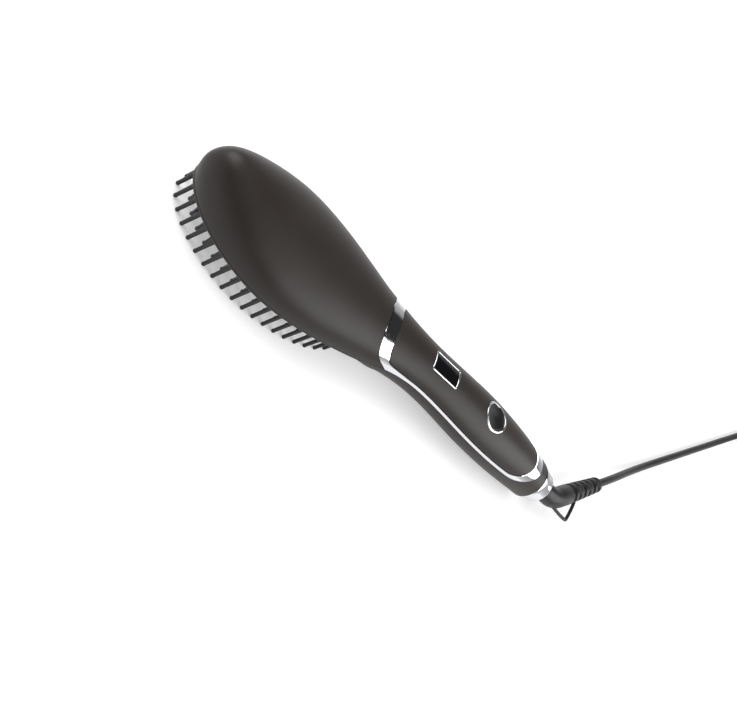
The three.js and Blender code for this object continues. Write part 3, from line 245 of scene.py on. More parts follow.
def boot_rings():
    """Rings from the neck in the tail, round the bend, over the ribs and to the rounded end"""
    neck = [
        (BODY_LENGTH - NECK_DEPTH - NECK_GAP, BOOT_NECK_RADIUS),
        (OVERALL_LENGTH - 1.2, BOOT_NECK_RADIUS),
        (OVERALL_LENGTH + 0.3, BOOT_NECK_RADIUS + NECK_GAP),
    ]
    rings = [ring_across(Vector((x, 0, TAIL_Z)), 0, radius) for x, radius in neck]
    start = ELBOW.x - BEND_REACH
    for t in np.linspace(0, 1, 13):
        heading = BEND * t
        bend_x = start + BEND_RADIUS * math.sin(heading)
        bend_y = BEND_RADIUS * (1 - math.cos(heading))
        rings.append(ring_across(Vector((bend_x, bend_y, TAIL_Z)), heading, BOOT_ROOT_RADIUS))
    pitch = RIBBED_LENGTH / RIB_COUNT
    ribs_at = BEND_REACH + SLEEVE_LENGTH
    for n in range(RIB_COUNT):
        bridged = math.pi / 2 * (n % 2)
        for step, depth in RIB_SLOT:
            body = mix(BOOT_ROOT_RADIUS, BOOT_END_RADIUS, (n + step) / RIB_COUNT)

            # Two narrow bridges cross each slot, and their place turns a quarter from slot to slot
            def radius(turn, body=body, depth=depth, bridged=bridged):
                bridge = ease(0.93, 0.98, abs(math.cos(turn - bridged)))
                return float(body - RIB_GROOVE * depth * (1 - bridge))

            rings.append(ring_across(ELBOW + AHEAD * (ribs_at + (n + step) * pitch), BEND, radius))
    for back, less in ((1.2, 0), (0.5, 0.15), (0.12, 0.5), (0, 1)):
        rings.append(ring_across(ELBOW + AHEAD * (BOOT_END - back), BEND, BOOT_END_RADIUS - less))
    return rings


def loop_rings():
    """Rings along the wire loop, given as (along, out) from the elbow"""
    corner = mix(LOOP_START, LOOP_END, 0.375)
    wire = [
        (LOOP_START - 1, 4),
        (mix(LOOP_START, corner, 0.5), mix(6, LOOP_DEPTH, 0.52)),
        (corner - 1.6, LOOP_DEPTH - 1.3),
        (corner, LOOP_DEPTH - 0.4),
        (corner + 1.9, LOOP_DEPTH - 1.2),
        (mix(corner, LOOP_END, 0.6), mix(LOOP_DEPTH, 5.5, 0.6)),
        (LOOP_END + 1.5, 3.4),
    ]
    route = smooth_route([ELBOW + AHEAD * along + ASIDE * out for along, out in wire], 8)
    ways = [after - before for before, after in zip([route[0], *route], [*route[1:], route[-1]])]
    return [
        ring_across(spot, math.atan2(way.y, way.x), LOOP_WIRE / 2, 16)
        for spot, way in zip(route, ways)
    ]


boot_block = carved(skin_over(boot_rings()), ("UNION", skin_over(loop_rings())))
boot = piece("strain_relief", boot_block, pvc)
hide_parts("swivel_boot")
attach(boot, "cord")

# Route of the cord: out of the strain relief, down to the floor, and along it to the coil, where it
# winds inwards in a lower layer, climbs, winds outwards on top, and ends at the plug.
CORD_DIAMETER = 5.6
CORD_OUT = 340
COIL_PITCH = 6.15
COIL_MEAN_DIAMETER = 64
COIL_TURN_STEPS = 40
COIL_LAYER_TURNS = 3.25
COIL_TURNS = 2 * COIL_LAYER_TURNS + 0.5
OUTER_RADIUS = (COIL_MEAN_DIAMETER + COIL_LAYER_TURNS * COIL_PITCH) / 2
FLOOR_GAP = 0.1
FLOOR_Z = CORD_DIAMETER / 2 + FLOOR_GAP
TIE_THICKNESS = 0.9
TIE_GAP = 0.35
COIL_Z = FLOOR_Z + TIE_THICKNESS + TIE_GAP + FLOOR_GAP
PLUG_HEIGHT = 13.7


def on_cord(along, height):
    """A place straight ahead of the strain relief, that far from its end and at that height"""
    spot = ELBOW + AHEAD * (BOOT_END + along)
    spot.z = height
    return spot


run = smooth_route([
    on_cord(-4, TAIL_Z),
    on_cord(9, TAIL_Z),
    on_cord(32, 11),
    on_cord(62, 6.4),
    on_cord(94, 3.5),
    on_cord(130, FLOOR_Z),
    on_cord(170, FLOOR_Z),
    on_cord(220, FLOOR_Z),
    on_cord(290, FLOOR_Z),
    on_cord(CORD_OUT - 24, mix(FLOOR_Z, COIL_Z, 0.5)),
    on_cord(CORD_OUT - 7, COIL_Z),
    on_cord(CORD_OUT, COIL_Z),
], 8)
coil_centre = on_cord(CORD_OUT, COIL_Z) + AHEAD * CORD_DIAMETER + ASIDE * OUTER_RADIUS
coil_start = math.atan2(-ASIDE.y, -ASIDE.x)
windings = []
for turns in np.linspace(0, COIL_TURNS, round(COIL_TURNS * COIL_TURN_STEPS) + 1):
    radius = OUTER_RADIUS - COIL_PITCH * min(turns, COIL_TURNS - turns)
    turn = coil_start - 2 * math.pi * turns
    lift = COIL_PITCH * float(ease(COIL_LAYER_TURNS, COIL_LAYER_TURNS + 0.5, turns))
    windings.append(coil_centre + Vector((radius * math.cos(turn), radius * math.sin(turn), lift)))
coil_exit = windings[-1] + AHEAD * CORD_DIAMETER
tail_drop = UP * (PLUG_HEIGHT / 2 - coil_exit.z)
tail_steps = ((0, 0), (8, 0), (28, 0.55), (46, 1), (54, 1), (58, 1))
tail_spots = [coil_exit + AHEAD * along + tail_drop * share for along, share in tail_steps]
tail = smooth_route(tail_spots, 8)
cord_route = [*run, *windings, *tail]

# Tie: a flat black PVC strap with rounded edges, closed round the bundle. It sits opposite the
# place where the cord comes in, and its size follows the windings that it holds.
TIE_WIDTH = 9
TIE_CORNER = 2.6
TIE_EDGE = 0.25
TIE_SLACK = 0.4
tie_turn = coil_start + math.pi
out = Vector((math.cos(tie_turn), math.sin(tie_turn), 0))
clear = CORD_DIAMETER / 2 + TIE_GAP
spokes = [place - coil_centre for place in windings]
under_tie = [s for s in spokes if s.dot(out) > 0 and abs(s.x * out.y - s.y * out.x) < TIE_WIDTH]
held = [s.dot(out) for s in under_tie]
tie_low = Vector((min(held) - clear, COIL_Z - clear))
tie_high = Vector((max(held) + clear + TIE_SLACK, COIL_Z + COIL_PITCH + clear))


def rounded_corners(low, high, radius, steps=6):
    """Points of a rectangle with rounded corners, anticlockwise from its right side"""
    centres = [(high[0], high[1]), (low[0], high[1]), (low[0], low[1]), (high[0], low[1])]
    inward = [(-1, -1), (1, -1), (1, 1), (-1, 1)]
    points = []
    for quarter, (corner, way) in enumerate(zip(centres, inward)):
        for i in range(steps + 1):
            turn = math.pi / 2 * (quarter + i / steps)
            x = corner[0] + radius * (way[0] + math.cos(turn))
            points.append((x, corner[1] + radius * (way[1] + math.sin(turn))))
    return points


def strap(low, high):
    """A flat band bent round a rectangle with rounded corners, at its place on the coil"""
    bm = bmesh.new()
    corners = rounded_corners(low, high, TIE_CORNER)
    outline = [bm.verts.new((x, -TIE_WIDTH / 2, z)) for x, z in corners]
    loop = [bm.edges.new(pair) for pair in zip(outline, [*outline[1:], outline[0]])]
    made = bmesh.ops.extrude_edge_only(bm, edges=loop)["geom"]
    moved = [part for part in made if isinstance(part, bmesh.types.BMVert)]
    bmesh.ops.translate(bm, verts=moved, vec=(0, TIE_WIDTH, 0))
    bmesh.ops.recalc_face_normals(bm, faces=bm.faces)
    bmesh.ops.solidify(bm, geom=bm.faces, thickness=-TIE_THICKNESS)
    rims = [edge for edge in bm.edges if edge.calc_face_angle(0) > 1.2]
    bmesh.ops.bevel(
        bm, geom=rims, offset=TIE_EDGE, segments=2, profile=0.5, affect="EDGES", material=-1
    )
    bmesh.ops.recalc_face_normals(bm, faces=bm.faces)
    to_coil = Matrix.Translation((coil_centre.x, coil_centre.y, 0))
    bmesh.ops.transform(bm, matrix=to_coil @ Matrix.Rotation(tie_turn, 4, "Z"), verts=bm.verts)
    return bm


tie = piece("coil_tie", strap(tie_low, tie_high), pvc)
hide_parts("cord_tie")
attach(tie, "cord")

# Plug: a flat two-pin mains plug moulded on the end of the cord in the same black PVC, with a
# slotted relief of its own. The pins are nickel-plated brass, turned and pressed in.
PLUG_RELIEF = 20
PLUG_FACE = PLUG_RELIEF + 34
PLUG_WIDTH = 35.3
PIN_SPREAD = 18.6
CORD_IN_PLUG = 4
PLUG_LIP = 0.3
plug_at = tail[-1] - AHEAD * CORD_IN_PLUG + AHEAD * PLUG_LIP
to_plug = Matrix.Translation(plug_at) @ Matrix.Rotation(BEND, 4, "Z")


def plug_ring(x, width, height, square):
    """A ring of the plug's outline: an ellipse for a square of 2, nearer a rectangle above that"""
    ring = []
    for turn in round_places(48):
        c, s = math.cos(turn), math.sin(turn)
        y = width / 2 * math.copysign(abs(c) ** (2 / square), c)
        ring.append(to_plug @ Vector((x, y, height / 2 * math.copysign(abs(s) ** (2 / square), s))))
    return ring


def plug_rings():
    """Rings of the plug's slotted relief, then of its body as (place, width, height, square)"""
    rings = [plug_ring(0, 7, 7, 2), plug_ring(PLUG_LIP, 8, 8, 2)]
    slot = ((1, 0), (3.2, 0), (3.45, 0.5), (3.7, 1.8), (5.5, 1.8), (5.75, 0.9))
    for n in range(3):
        size = mix(8, 10.4, n / 3)
        for step, groove in slot:
            rings.append(plug_ring(n * 5 + step, size - groove, size - groove, 2))
    plug_body = (
        (-2, 11, 11, 2),
        (0.5, 12, 11.6, 2.1),
        (3, 14, 12.4, 2.4),
        (6.5, 18.6, 13, 2.7),
        (12, 27, 13.6, 3.2),
        (16, 31.2, PLUG_HEIGHT, 3.6),
        (20, 33.6, PLUG_HEIGHT, 4),
        (33, PLUG_WIDTH, PLUG_HEIGHT, 4.5),
        (33.5, 35, 13.4, 4.5),
        (33.85, 34.4, 12.9, 4.5),
        (34, 33.6, 12, 4.5),
    )
    return rings + [plug_ring(PLUG_RELIEF + x, *size) for x, *size in plug_body]


plug = piece("mains_plug", skin_over(plug_rings()), pvc)
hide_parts("plug_body")
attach(plug, "cord")

# Nickel-plated brass, turned: a warm pale metal with fine rings from the lathe across its length
nickel = bare_material("nickel_plated_brass")
place = add_node(nickel, "TexCoord").outputs["Object"]
along_pin = add_node(nickel, "Mapping", {
    "Vector": place,
    "Rotation": (0, 0, -BEND),
    "Scale": (9000, 20, 20),
}).outputs["Vector"]
cuts = add_node(nickel, "TexNoise", {"Vector": along_pin, "Scale": 1, "Detail": 2}).outputs["Fac"]
wear = add_node(nickel, "MapRange", {"Value": cuts, "To Min": 0.16, "To Max": 0.34})
bump = add_node(nickel, "Bump", {"Height": cuts, "Strength": 0.12, "Distance": 0.00005})
finish_surface(nickel, {
    "Base Color": linear("#d8d2c4"),
    "Metallic": 1,
    "Roughness": wear.outputs["Result"],
    "Normal": bump.outputs["Normal"],
})

for number, side in ((1, -1), (2, 1)):
    outline = (
        (-4, 2), (16.6, 2), (17.4, 1.94), (18.1, 1.66), (18.6, 1.2), (18.9, 0.7), (19, 0.25)
    )
    centres = [Vector((PLUG_FACE + x, side * PIN_SPREAD / 2, 0)) for x, _ in outline]
    rings = [ring_across(centre, 0, radius, 24) for centre, (_, radius) in zip(centres, outline)]
    bm = skin_over(rings)
    bmesh.ops.transform(bm, matrix=to_plug, verts=bm.verts)
    pin = piece(f"mains_pin_{number}", bm, nickel)
    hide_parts(f"plug_pin_{number}")
    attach(pin, "cord")

# Mains cord: two cores in a round black PVC jacket, 5.6 mm thick and about 1.8 m long, extruded, so
# its surface is even and satin. Most of it lies in the coil, outside the picture.
cord_curve = bpy.data.curves.new("mains_cord", "CURVE")
cord_curve.dimensions = "3D"
cord_curve.bevel_depth = CORD_DIAMETER / 2 / 1000
cord_curve.bevel_resolution = 5
cord_curve.use_fill_caps = True
spline = cord_curve.splines.new("POLY")
steps = [b - a for a, b in zip(cord_route, cord_route[1:])]
kept = [cord_route[0], *(spot for spot, step in zip(cord_route[1:], steps) if step.length > 0.01)]
spline.points.add(len(kept) - 1)
for point, spot in zip(spline.points, kept):
    point.co = [*(TO_ROW @ spot), 1]
cord_curve.materials.append(pvc)
cord = bpy.data.objects.new("mains_cord", cord_curve)
bpy.context.collection.objects.link(cord)
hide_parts("cord_run", "cord_coil", "cord_tail")
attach(cord, "cord")
TO_ROW @ on_cord(0, TAIL_Z)

# Floor and light: a matt white floor in a studio with walls white low down and dark above. A large
# soft box beyond the grip draws the long sheens, and a smaller one beyond the tip lights the head.
# Lengths here are metres.
FLOOR_HALF = 1.3
LAMP_DISTANCE = 1.5

# Matt white paint, sprayed: an even white. It glows a little where the eye or a mirror sees it, so
# that it comes out as white as the studio's backdrop without throwing more light on the brush.
matt_paint = bare_material("matt_white_paint")
sees = add_node(matt_paint, "LightPath").outputs
seen = sees["Is Camera Ray"]
for ray in ("Is Glossy Ray", "Is Transmission Ray"):
    either = add_node(matt_paint, "Math", {0: seen, 1: sees[ray]}, operation="MAXIMUM")
    seen = either.outputs["Value"]
level = add_node(matt_paint, "MapRange", {"Value": seen, "To Max": 0.42}).outputs["Result"]
paint = add_node(matt_paint, "BsdfDiffuse", {"Color": linear("#d2d2d2")})
glow = add_node(matt_paint, "Emission", {"Color": (1, 1, 1, 1), "Strength": level})
both = add_node(matt_paint, "AddShader", {0: paint.outputs["BSDF"], 1: glow.outputs["Emission"]})
add_node(matt_paint, "OutputMaterial", {"Surface": both.outputs["Shader"]})
bm = bmesh.new()
bmesh.ops.create_grid(bm, x_segments=1, y_segments=1, size=FLOOR_HALF)
floor_mesh = bpy.data.meshes.new("floor")
bm.to_mesh(floor_mesh)
bm.free()
floor_mesh.materials.append(matt_paint)
floor = bpy.data.objects.new("floor", floor_mesh)
bpy.context.collection.objects.link(floor)

world = bpy.data.worlds.new("studio")
bpy.context.scene.world = world
world.use_nodes = True
world.node_tree.nodes.clear()
way = add_node(world, "TexCoord").outputs["Generated"]
height = add_node(world, "SeparateXYZ", {"Vector": way}).outputs["Z"]
walls = add_node(world, "ValToRGB", {"Fac": height})
ramp = walls.color_ramp
ramp.elements[0].position, ramp.elements[0].color = 0, (1, 1, 1, 1)
ramp.elements[1].position, ramp.elements[1].color = 0.52, (0.04, 0.04, 0.04, 1)
for position, grey in ((0.22, 0.6), (0.4, 0.45)):
    ramp.elements.new(position).color = (grey, grey, grey, 1)
dim = add_node(world, "Background", {"Color": walls.outputs["Color"]}).outputs["Background"]
white = add_node(world, "Background", {"Color": (1, 1, 1, 1)}).outputs["Background"]
sees = add_node(world, "LightPath").outputs["Is Camera Ray"]
air = add_node(world, "MixShader", {0: sees, 1: dim, 2: white})
add_node(world, "OutputWorld", {"Surface": air.outputs["Shader"]})


def soft_box(name, turn, height, width, depth, level):
    """A rectangular lamp facing the brush, `turn` degrees round it and `height` degrees up"""
    lamp = bpy.data.lights.new(name, "AREA")
    lamp.shape, lamp.size, lamp.size_y = "RECTANGLE", width, depth
    lamp.energy = 4 * level * width * depth
    box = bpy.data.objects.new(name, lamp)
    turn, height = math.radians(turn), math.radians(height)
    flat = math.cos(height)
    way = Vector((flat * math.cos(turn), flat * math.sin(turn), math.sin(height)))
    box.location = LAMP_DISTANCE * way
    box.rotation_mode = "QUATERNION"
    box.rotation_quaternion = (-box.location).to_track_quat("-Z", "Y")
    box.visible_camera = False
    bpy.context.collection.objects.link(box)


soft_box("grip_box", -22, 40, 1.8, 0.95, 3.6)
soft_box("tip_box", 150, 48, 1.5, 1.3, 3.4)

# Shells: three ABS mouldings with a matt soft-touch coating. The back cover and the handle cover
# sit on the front shell. All three follow one surface, which these lines and widths give.
RIM_Z = 18.5
PIN_REACH = 16.5
CROWN_HEIGHT = 24.4
CROWN_AT = 16
WIDEST_AT = 58.8
HEAD_WIDTH = 67.8
NECK_WIDTH = 32.4
GRIP_WIDTH = 36.6
NOSE_POWER = 1.8
NOSE_BULGE = 2.5
WALL = 2
SEAM = 0.3
FIT = 0.1
TRIM_WIDTH = 2.1
OPENING_WIDTH = 65.6
OPENING_FRONT = 1.2
OPENING_REAR = 118.8
OPENING_REAR_POWER = 2.15
SKY = RIM_Z + 2 * CROWN_HEIGHT


def head_x(share):
    return share * HEAD_LENGTH


def handle_x(share):
    return HEAD_LENGTH + share * HANDLE_LENGTH


def crown_z(share):
    return RIM_Z + share * CROWN_HEIGHT


def pin_z(share):
    return share * PIN_REACH


BACK = [
    (CROWN_AT, crown_z(1)),
    (head_x(0.29), crown_z(0.939)),
    (head_x(0.49), crown_z(0.84)),
    (head_x(0.66), crown_z(0.762)),
    (head_x(0.83), crown_z(0.689)),
    (handle_x(0), crown_z(0.639)),
    (handle_x(0.13), crown_z(0.631)),
    (handle_x(0.27), crown_z(0.631)),
    (handle_x(0.54), crown_z(0.611)),
    (handle_x(0.74), crown_z(0.541)),
    (handle_x(0.91), crown_z(0.426)),
    (BODY_LENGTH, TAIL_DIAMETER),
]
BELLY = [
    (OPENING_REAR, PIN_REACH),
    (handle_x(0.02), pin_z(0.794)),
    (handle_x(0.06), pin_z(0.576)),
    (handle_x(0.12), pin_z(0.473)),
    (handle_x(0.27), pin_z(0.455)),
    (handle_x(0.58), pin_z(0.236)),
    (handle_x(0.8), pin_z(0.085)),
    (handle_x(0.94), pin_z(0.03)),
    (BODY_LENGTH, 0),
]
PARTING = [
    (-9, crown_z(0)),
    (head_x(0.5), crown_z(0)),
    (head_x(0.9), crown_z(0)),
    (handle_x(0), crown_z(0.049)),
    (handle_x(0.08), crown_z(0.148)),
    (handle_x(0.16), crown_z(0.193)),
    (handle_x(0.27), crown_z(0.189)),
    (handle_x(0.54), crown_z(0.119)),
    (handle_x(0.77), crown_z(0.045)),
    (handle_x(0.84), crown_z(0.041)),
    (handle_x(0.885), crown_z(0.115)),
    (handle_x(0.925), crown_z(0.246)),
    (handle_x(0.952), crown_z(0.389)),
    (handle_x(0.966), crown_z(0.574)),
    (handle_x(0.968), SKY),
]
BACK_COVER_END = [
    (handle_x(0.083), crown_z(0.139)),
    (handle_x(0.059), crown_z(0.213)),
    (handle_x(0.026), crown_z(0.307)),
    (handle_x(0), crown_z(0.43)),
    (head_x(0.9778), crown_z(0.574)),
    (head_x(0.9721), crown_z(0.738)),
    (head_x(0.9721), SKY),
]
HANDLE_COVER = [
    (handle_x(0.0295), SKY),
    (handle_x(0.0295), crown_z(0.738)),
    (handle_x(0.0354), crown_z(0.574)),
    (handle_x(0.0525), crown_z(0.443)),
    (handle_x(0.0787), crown_z(0.328)),
    (handle_x(0.16), crown_z(0.201) + TRIM_WIDTH),
    (handle_x(0.27), crown_z(0.189) + TRIM_WIDTH),
    (handle_x(0.54), crown_z(0.119) + TRIM_WIDTH),
    (handle_x(0.77), crown_z(0.049) + TRIM_WIDTH),
    (handle_x(0.82), crown_z(0.057) + TRIM_WIDTH),
    (handle_x(0.86), crown_z(0.23)),
    (handle_x(0.885), crown_z(0.336)),
    (handle_x(0.905), crown_z(0.451)),
    (handle_x(0.914), crown_z(0.615)),
    (handle_x(0.915), SKY),
]


def smooth_line(points):
    """A smooth line through a few points, read at any x. It never swings past a point."""
    xs, zs = np.array(points, float).T
    rises = np.diff(zs) / np.diff(xs)
    product, total = rises[:-1] * rises[1:], rises[:-1] + rises[1:]
    slopes = np.where(product > 0, 2 * product / np.where(product > 0, total, 1), 0)
    slopes = np.concatenate([rises[:1], slopes, rises[-1:]])

    def at(x):
        x = np.clip(x, xs[0], xs[-1])
        i = np.clip(np.searchsorted(xs, x), 1, len(xs) - 1)
        width = xs[i] - xs[i - 1]
        t = (x - xs[i - 1]) / width
        swing = slopes[i - 1] * (t**3 - 2 * t**2 + t) + slopes[i] * (t**3 - t**2)
        return mix(zs[i - 1], zs[i], 3 * t**2 - 2 * t**3) + width * swing

    return at


back_line = smooth_line(BACK)
belly_line = smooth_line(BELLY)


def half_width(x, inset):
    """Half the body's width at a place along it: round nose, shoulder, neck, grip and tail"""
    head = HEAD_WIDTH / 2 - inset
    neck_at, grip_at = handle_x(0.27), handle_x(0.6)
    nose = np.clip((WIDEST_AT - x) / (WIDEST_AT - inset), 0, 1)
    front = head * (1 - nose**NOSE_POWER) ** (1 / NOSE_POWER)
    shoulder = mix(head, NECK_WIDTH / 2 - inset, ease(WIDEST_AT, neck_at, x))
    grip = mix(NECK_WIDTH, GRIP_WIDTH, ease(neck_at, grip_at, x)) / 2 - inset
    round_end = np.cos(np.pi / 2 * np.clip((x - grip_at) / (BODY_LENGTH - grip_at), 0, 1))
    end = mix(TAIL_DIAMETER, GRIP_WIDTH, round_end) / 2 - inset
    return np.select([x < WIDEST_AT, x < neck_at, x < grip_at], [front, shoulder, grip], end)


def back_height(x, inset):
    """Height of the back's ridge, which curves down to the rim at the nose"""
    rise = np.clip(1 - (np.clip(CROWN_AT - x, 0, None) / (CROWN_AT - inset)) ** 4, 0, None) ** 0.25
    return np.where(x >= CROWN_AT, back_line(x) - inset, RIM_Z + (CROWN_HEIGHT - inset) * rise)


def section_at(x, inset):
    """Heights of one cross-section and how square its halves are. It is flat under the head."""
    full = (back_height(x, 0) + belly_line(x)) / 2
    middle = mix(RIM_Z, full, ease(head_x(0.92), handle_x(0.2), x))
    bottom = np.minimum(belly_line(x) + inset, middle - 0.05)
    square = mix(9, 2.15, ease(head_x(0.86), handle_x(0.1), x))
    dome = mix(2, 2.1, ease(0, WIDEST_AT, x))
    return back_height(x, inset), middle, bottom, square, dome


def nose_bulge(x, z):
    """How far the nose stands forward above the rim, most at half its height"""
    height = np.clip((z - RIM_Z) / CROWN_HEIGHT, 0, 1)
    return NOSE_BULGE * np.sin(np.pi * height) * np.clip(1 - x / 30, 0, 1) ** 2


def body(inset, around=112):
    """The whole body as one solid, drawn in from its surface by an inset"""
    nose = inset + (WIDEST_AT - inset) * np.linspace(0.006, 1, 44) ** 2
    rest = np.linspace(WIDEST_AT, BODY_LENGTH - max(inset, 0), 130)[1:]
    turns = np.array(round_places(around)) + math.pi / around
    c, s = np.cos(turns), np.sin(turns)
    rings = []
    for x in (*nose, *rest):
        across = max(half_width(x, inset), 0.02)
        top, middle, bottom, square, dome = section_at(x, inset)
        power = 2 / np.where(s >= 0, dome, square)
        reach = np.where(s >= 0, max(top - middle, 0.02), middle - bottom)
        ys = across * np.sign(c) * np.abs(c) ** power
        zs = middle + reach * np.sign(s) * np.abs(s) ** power
        rings.append([Vector(spot) for spot in zip(x - nose_bulge(x, zs), ys, zs)])
    return skin_over(rings)


def body_measure(points, inset):
    """Below 1 inside the body drawn in by the inset, 1 on its surface and above 1 outside"""
    bulged, y, z = points.T
    x = bulged
    for _ in range(4):
        x = bulged + nose_bulge(x, z)
    across = np.maximum(half_width(x, inset), 0.02)
    top, middle, bottom, square, dome = section_at(x, inset)
    above = z >= middle
    reach = np.where(above, np.maximum(top - middle, 0.02), middle - bottom)
    power = np.where(above, dome, square)
    return (np.abs(y) / across) ** power + (np.abs(z - middle) / reach) ** power


def even_sheen(thing, inset=0.0, step=0.02, near_surface=0.06, same_way=0.8):
    """Gives the faces that lie on the body's surface that surface's own normals, so that cuts show
    only at their edges. Lengths are millimetres, and same_way is a cosine."""
    mesh = thing.data
    points = np.empty(len(mesh.vertices) * 3)
    mesh.vertices.foreach_get("co", points)
    points = points.reshape(-1, 3) * 1000 + np.array((OVERALL_LENGTH / 2, 0, 0))
    slope = np.stack([
        body_measure(points + offset, inset) - body_measure(points - offset, inset)
        for offset in np.eye(3) * step
    ], axis=1)
    length = np.linalg.norm(slope, axis=1, keepdims=True)
    normals = slope / np.maximum(length, 1e-9)
    away = np.abs(body_measure(points, inset) - 1) / np.maximum(length[:, 0] / (2 * step), 1e-6)
    near = away < near_surface
    given = np.zeros((len(mesh.loops), 3))
    for face in mesh.polygons:
        corners = list(face.vertices)
        along = np.dot(normals[corners].mean(axis=0), face.normal)
        if near[corners].all() and along > same_way:
            given[face.loop_indices] = normals[corners]
    mesh.normals_split_custom_set(given.tolist())


def prism(points, axis, low, high):
    """A solid with that outline: points (x, z) pushed along Y, or points (x, y) pushed along Z"""
    bm = bmesh.new()
    spots = [(x, low, v) if axis == "Y" else (x, v, low) for x, v in points]
    corners = [bm.verts.new(spot) for spot in spots]
    sides = [bm.edges.new(pair) for pair in zip(corners, [*corners[1:], corners[0]])]
    outline = bmesh.ops.contextual_create(bm, geom=sides)["faces"]
    made = bmesh.ops.extrude_face_region(bm, geom=outline)["geom"]
    moved = [part for part in made if isinstance(part, bmesh.types.BMVert)]
    push = (0, high - low, 0) if axis == "Y" else (0, 0, high - low)
    bmesh.ops.translate(bm, verts=moved, vec=push)
    bmesh.ops.recalc_face_normals(bm, faces=bm.faces)
    return bm


def side_view(points):
    """A side view's outline, pushed right through the body's width"""
    return prism(points, "Y", -HEAD_WIDTH / 2 - 2, HEAD_WIDTH / 2 + 2)


def edge_line(points, gap, steps):
    """A line rounded through its points and moved sideways by a gap, to the left as it runs"""
    points = [Vector(point) for point in points]
    last = len(points) - 1
    line = []
    for i in range(steps + 1):
        n = min(int(i / steps * last), last - 1)
        t = i / steps * last - n
        a, b, c, d = (points[min(max(n + k, 0), last)] for k in (-1, 0, 1, 2))
        leaving, arriving = (c - a) / 2, (d - b) / 2
        bow = (3 * (c - b) - 2 * leaving - arriving) * t**2
        line.append(b + leaving * t + bow + (2 * (b - c) + leaving + arriving) * t**3)
    moved = []
    for i, spot in enumerate(line):
        way = (line[min(i + 1, steps)] - line[max(i - 1, 0)]).normalized()
        moved.append((spot.x - gap * way.y, spot.y + gap * way.x))
    return moved


def upper_region():
    """All that lies above the parting line"""
    return side_view([*edge_line(PARTING, SEAM / 2, 112), (-9, SKY)])


def lower_region():
    """All that lies below the parting line"""
    below = [(BODY_LENGTH + 9, SKY), (BODY_LENGTH + 9, -9), (-9, -9)]
    return side_view([*edge_line(PARTING, -SEAM / 2, 112), *below])


def head_region(gap):
    """All that lies ahead of the back cover's rear edge"""
    ahead = [(-9, SKY), (-9, 0), (handle_x(0.083), 0)]
    return side_view([*edge_line(BACK_COVER_END, gap, 48), *ahead])


def cover_region(gap):
    """All that lies above the handle cover's edge"""
    return side_view(edge_line(HANDLE_COVER, gap, 112))


def opening_outline(inset, count=96):
    """The oval opening under the head, drawn in by an inset"""
    outline = []
    for turn in round_places(count):
        c, s = math.cos(turn), math.sin(turn)
        power = 2 / (OPENING_REAR_POWER if c > 0 else NOSE_POWER)
        reach = OPENING_REAR - WIDEST_AT if c > 0 else WIDEST_AT - OPENING_FRONT
        x = WIDEST_AT + (reach - inset) * math.copysign(abs(c) ** power, c)
        outline.append((x, (OPENING_WIDTH / 2 - inset) * math.copysign(abs(s) ** power, s)))
    return outline


def oval(inset, low, high):
    """A block with the outline of the opening under the head, drawn in by an inset"""
    return prism(opening_outline(inset), "Z", low, high)


def post(x, y, low, high, diameter, sides=32):
    """An upright round post, or the bore for one"""
    bm = bmesh.new()
    bmesh.ops.create_cone(
        bm,
        cap_ends=True,
        segments=sides,
        radius1=diameter / 2,
        radius2=diameter / 2,
        depth=high - low,
        matrix=Matrix.Translation((x, y, (low + high) / 2)),
    )
    return bm


# ABS with a soft-touch coating: moulded, then sprayed with a rubbery matt charcoal paint. Its sheen
# is broad and soft. The paint's fine orange peel, 0.5 mm, is drawn a little coarser than it is.
coated_abs = patchy_finish(
    "soft_touch_coated_abs",
    tones=("#241f1d", "#292421"),
    patches={"Scale": 28, "Detail": 4},
    spread=(0.3, 0.7),
    grain={"Scale": 1500, "Detail": 3},
    relief={"Strength": 0.12, "Distance": 0.0001},
    roughness=(0.42, 0.46),
    rest={"IOR": 1.5, "Specular IOR Level": 0.32},
)

# Back cover: one deep shell over the head, moulded in ABS and coated like the others. It is pressed
# down on the front shell's rim.
cover = carved(
    body(0),
    ("DIFFERENCE", body(WALL)),
    ("INTERSECT", upper_region()),
    ("INTERSECT", head_region(0)),
)
back_cover = piece("head_back_cover", cover, coated_abs)
even_sheen(back_cover)
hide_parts("back_cover")
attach(back_cover, "brush")

# Case screws: two pairs of zinc-plated steel screws, which go up through the front shell into posts
# of the handle cover. The pegs that hold the board have their places here too.
BOARD_AT = HEAD_LENGTH + 26
BOARD_LENGTH = 88
BOARD_HEIGHT = 24
BOARD_TOP = BOARD_HEIGHT + 1.6
SCREW_LENGTH = 9
SCREW_HEAD_HEIGHT = 1.8
SCREW_HEAD_RADIUS = 2.4
SCREW_SUNK = 2
CREST_RADIUS = 1.3
ROOT_RADIUS = 1.05
THREAD_STEP = 0.45
screw_places = [(HEAD_LENGTH + at, side * 12) for at in (9.2, 128) for side in (-1, 1)]
peg_places = [
    (BOARD_AT + share * BOARD_LENGTH, side * 6.5) for share in (0.33, 0.93) for side in (-1, 1)
]


def screw_seat(x, y):
    """Height of the shoulder under a screw's head, which is sunk below the belly on all sides"""
    _, middle, bottom, square, _ = section_at(x, 0)
    side = (abs(y) + SCREW_HEAD_RADIUS) / half_width(x, 0)
    belly = middle - (middle - bottom) * (1 - side**square) ** (1 / square)
    return float(belly) + SCREW_SUNK + SCREW_HEAD_HEIGHT


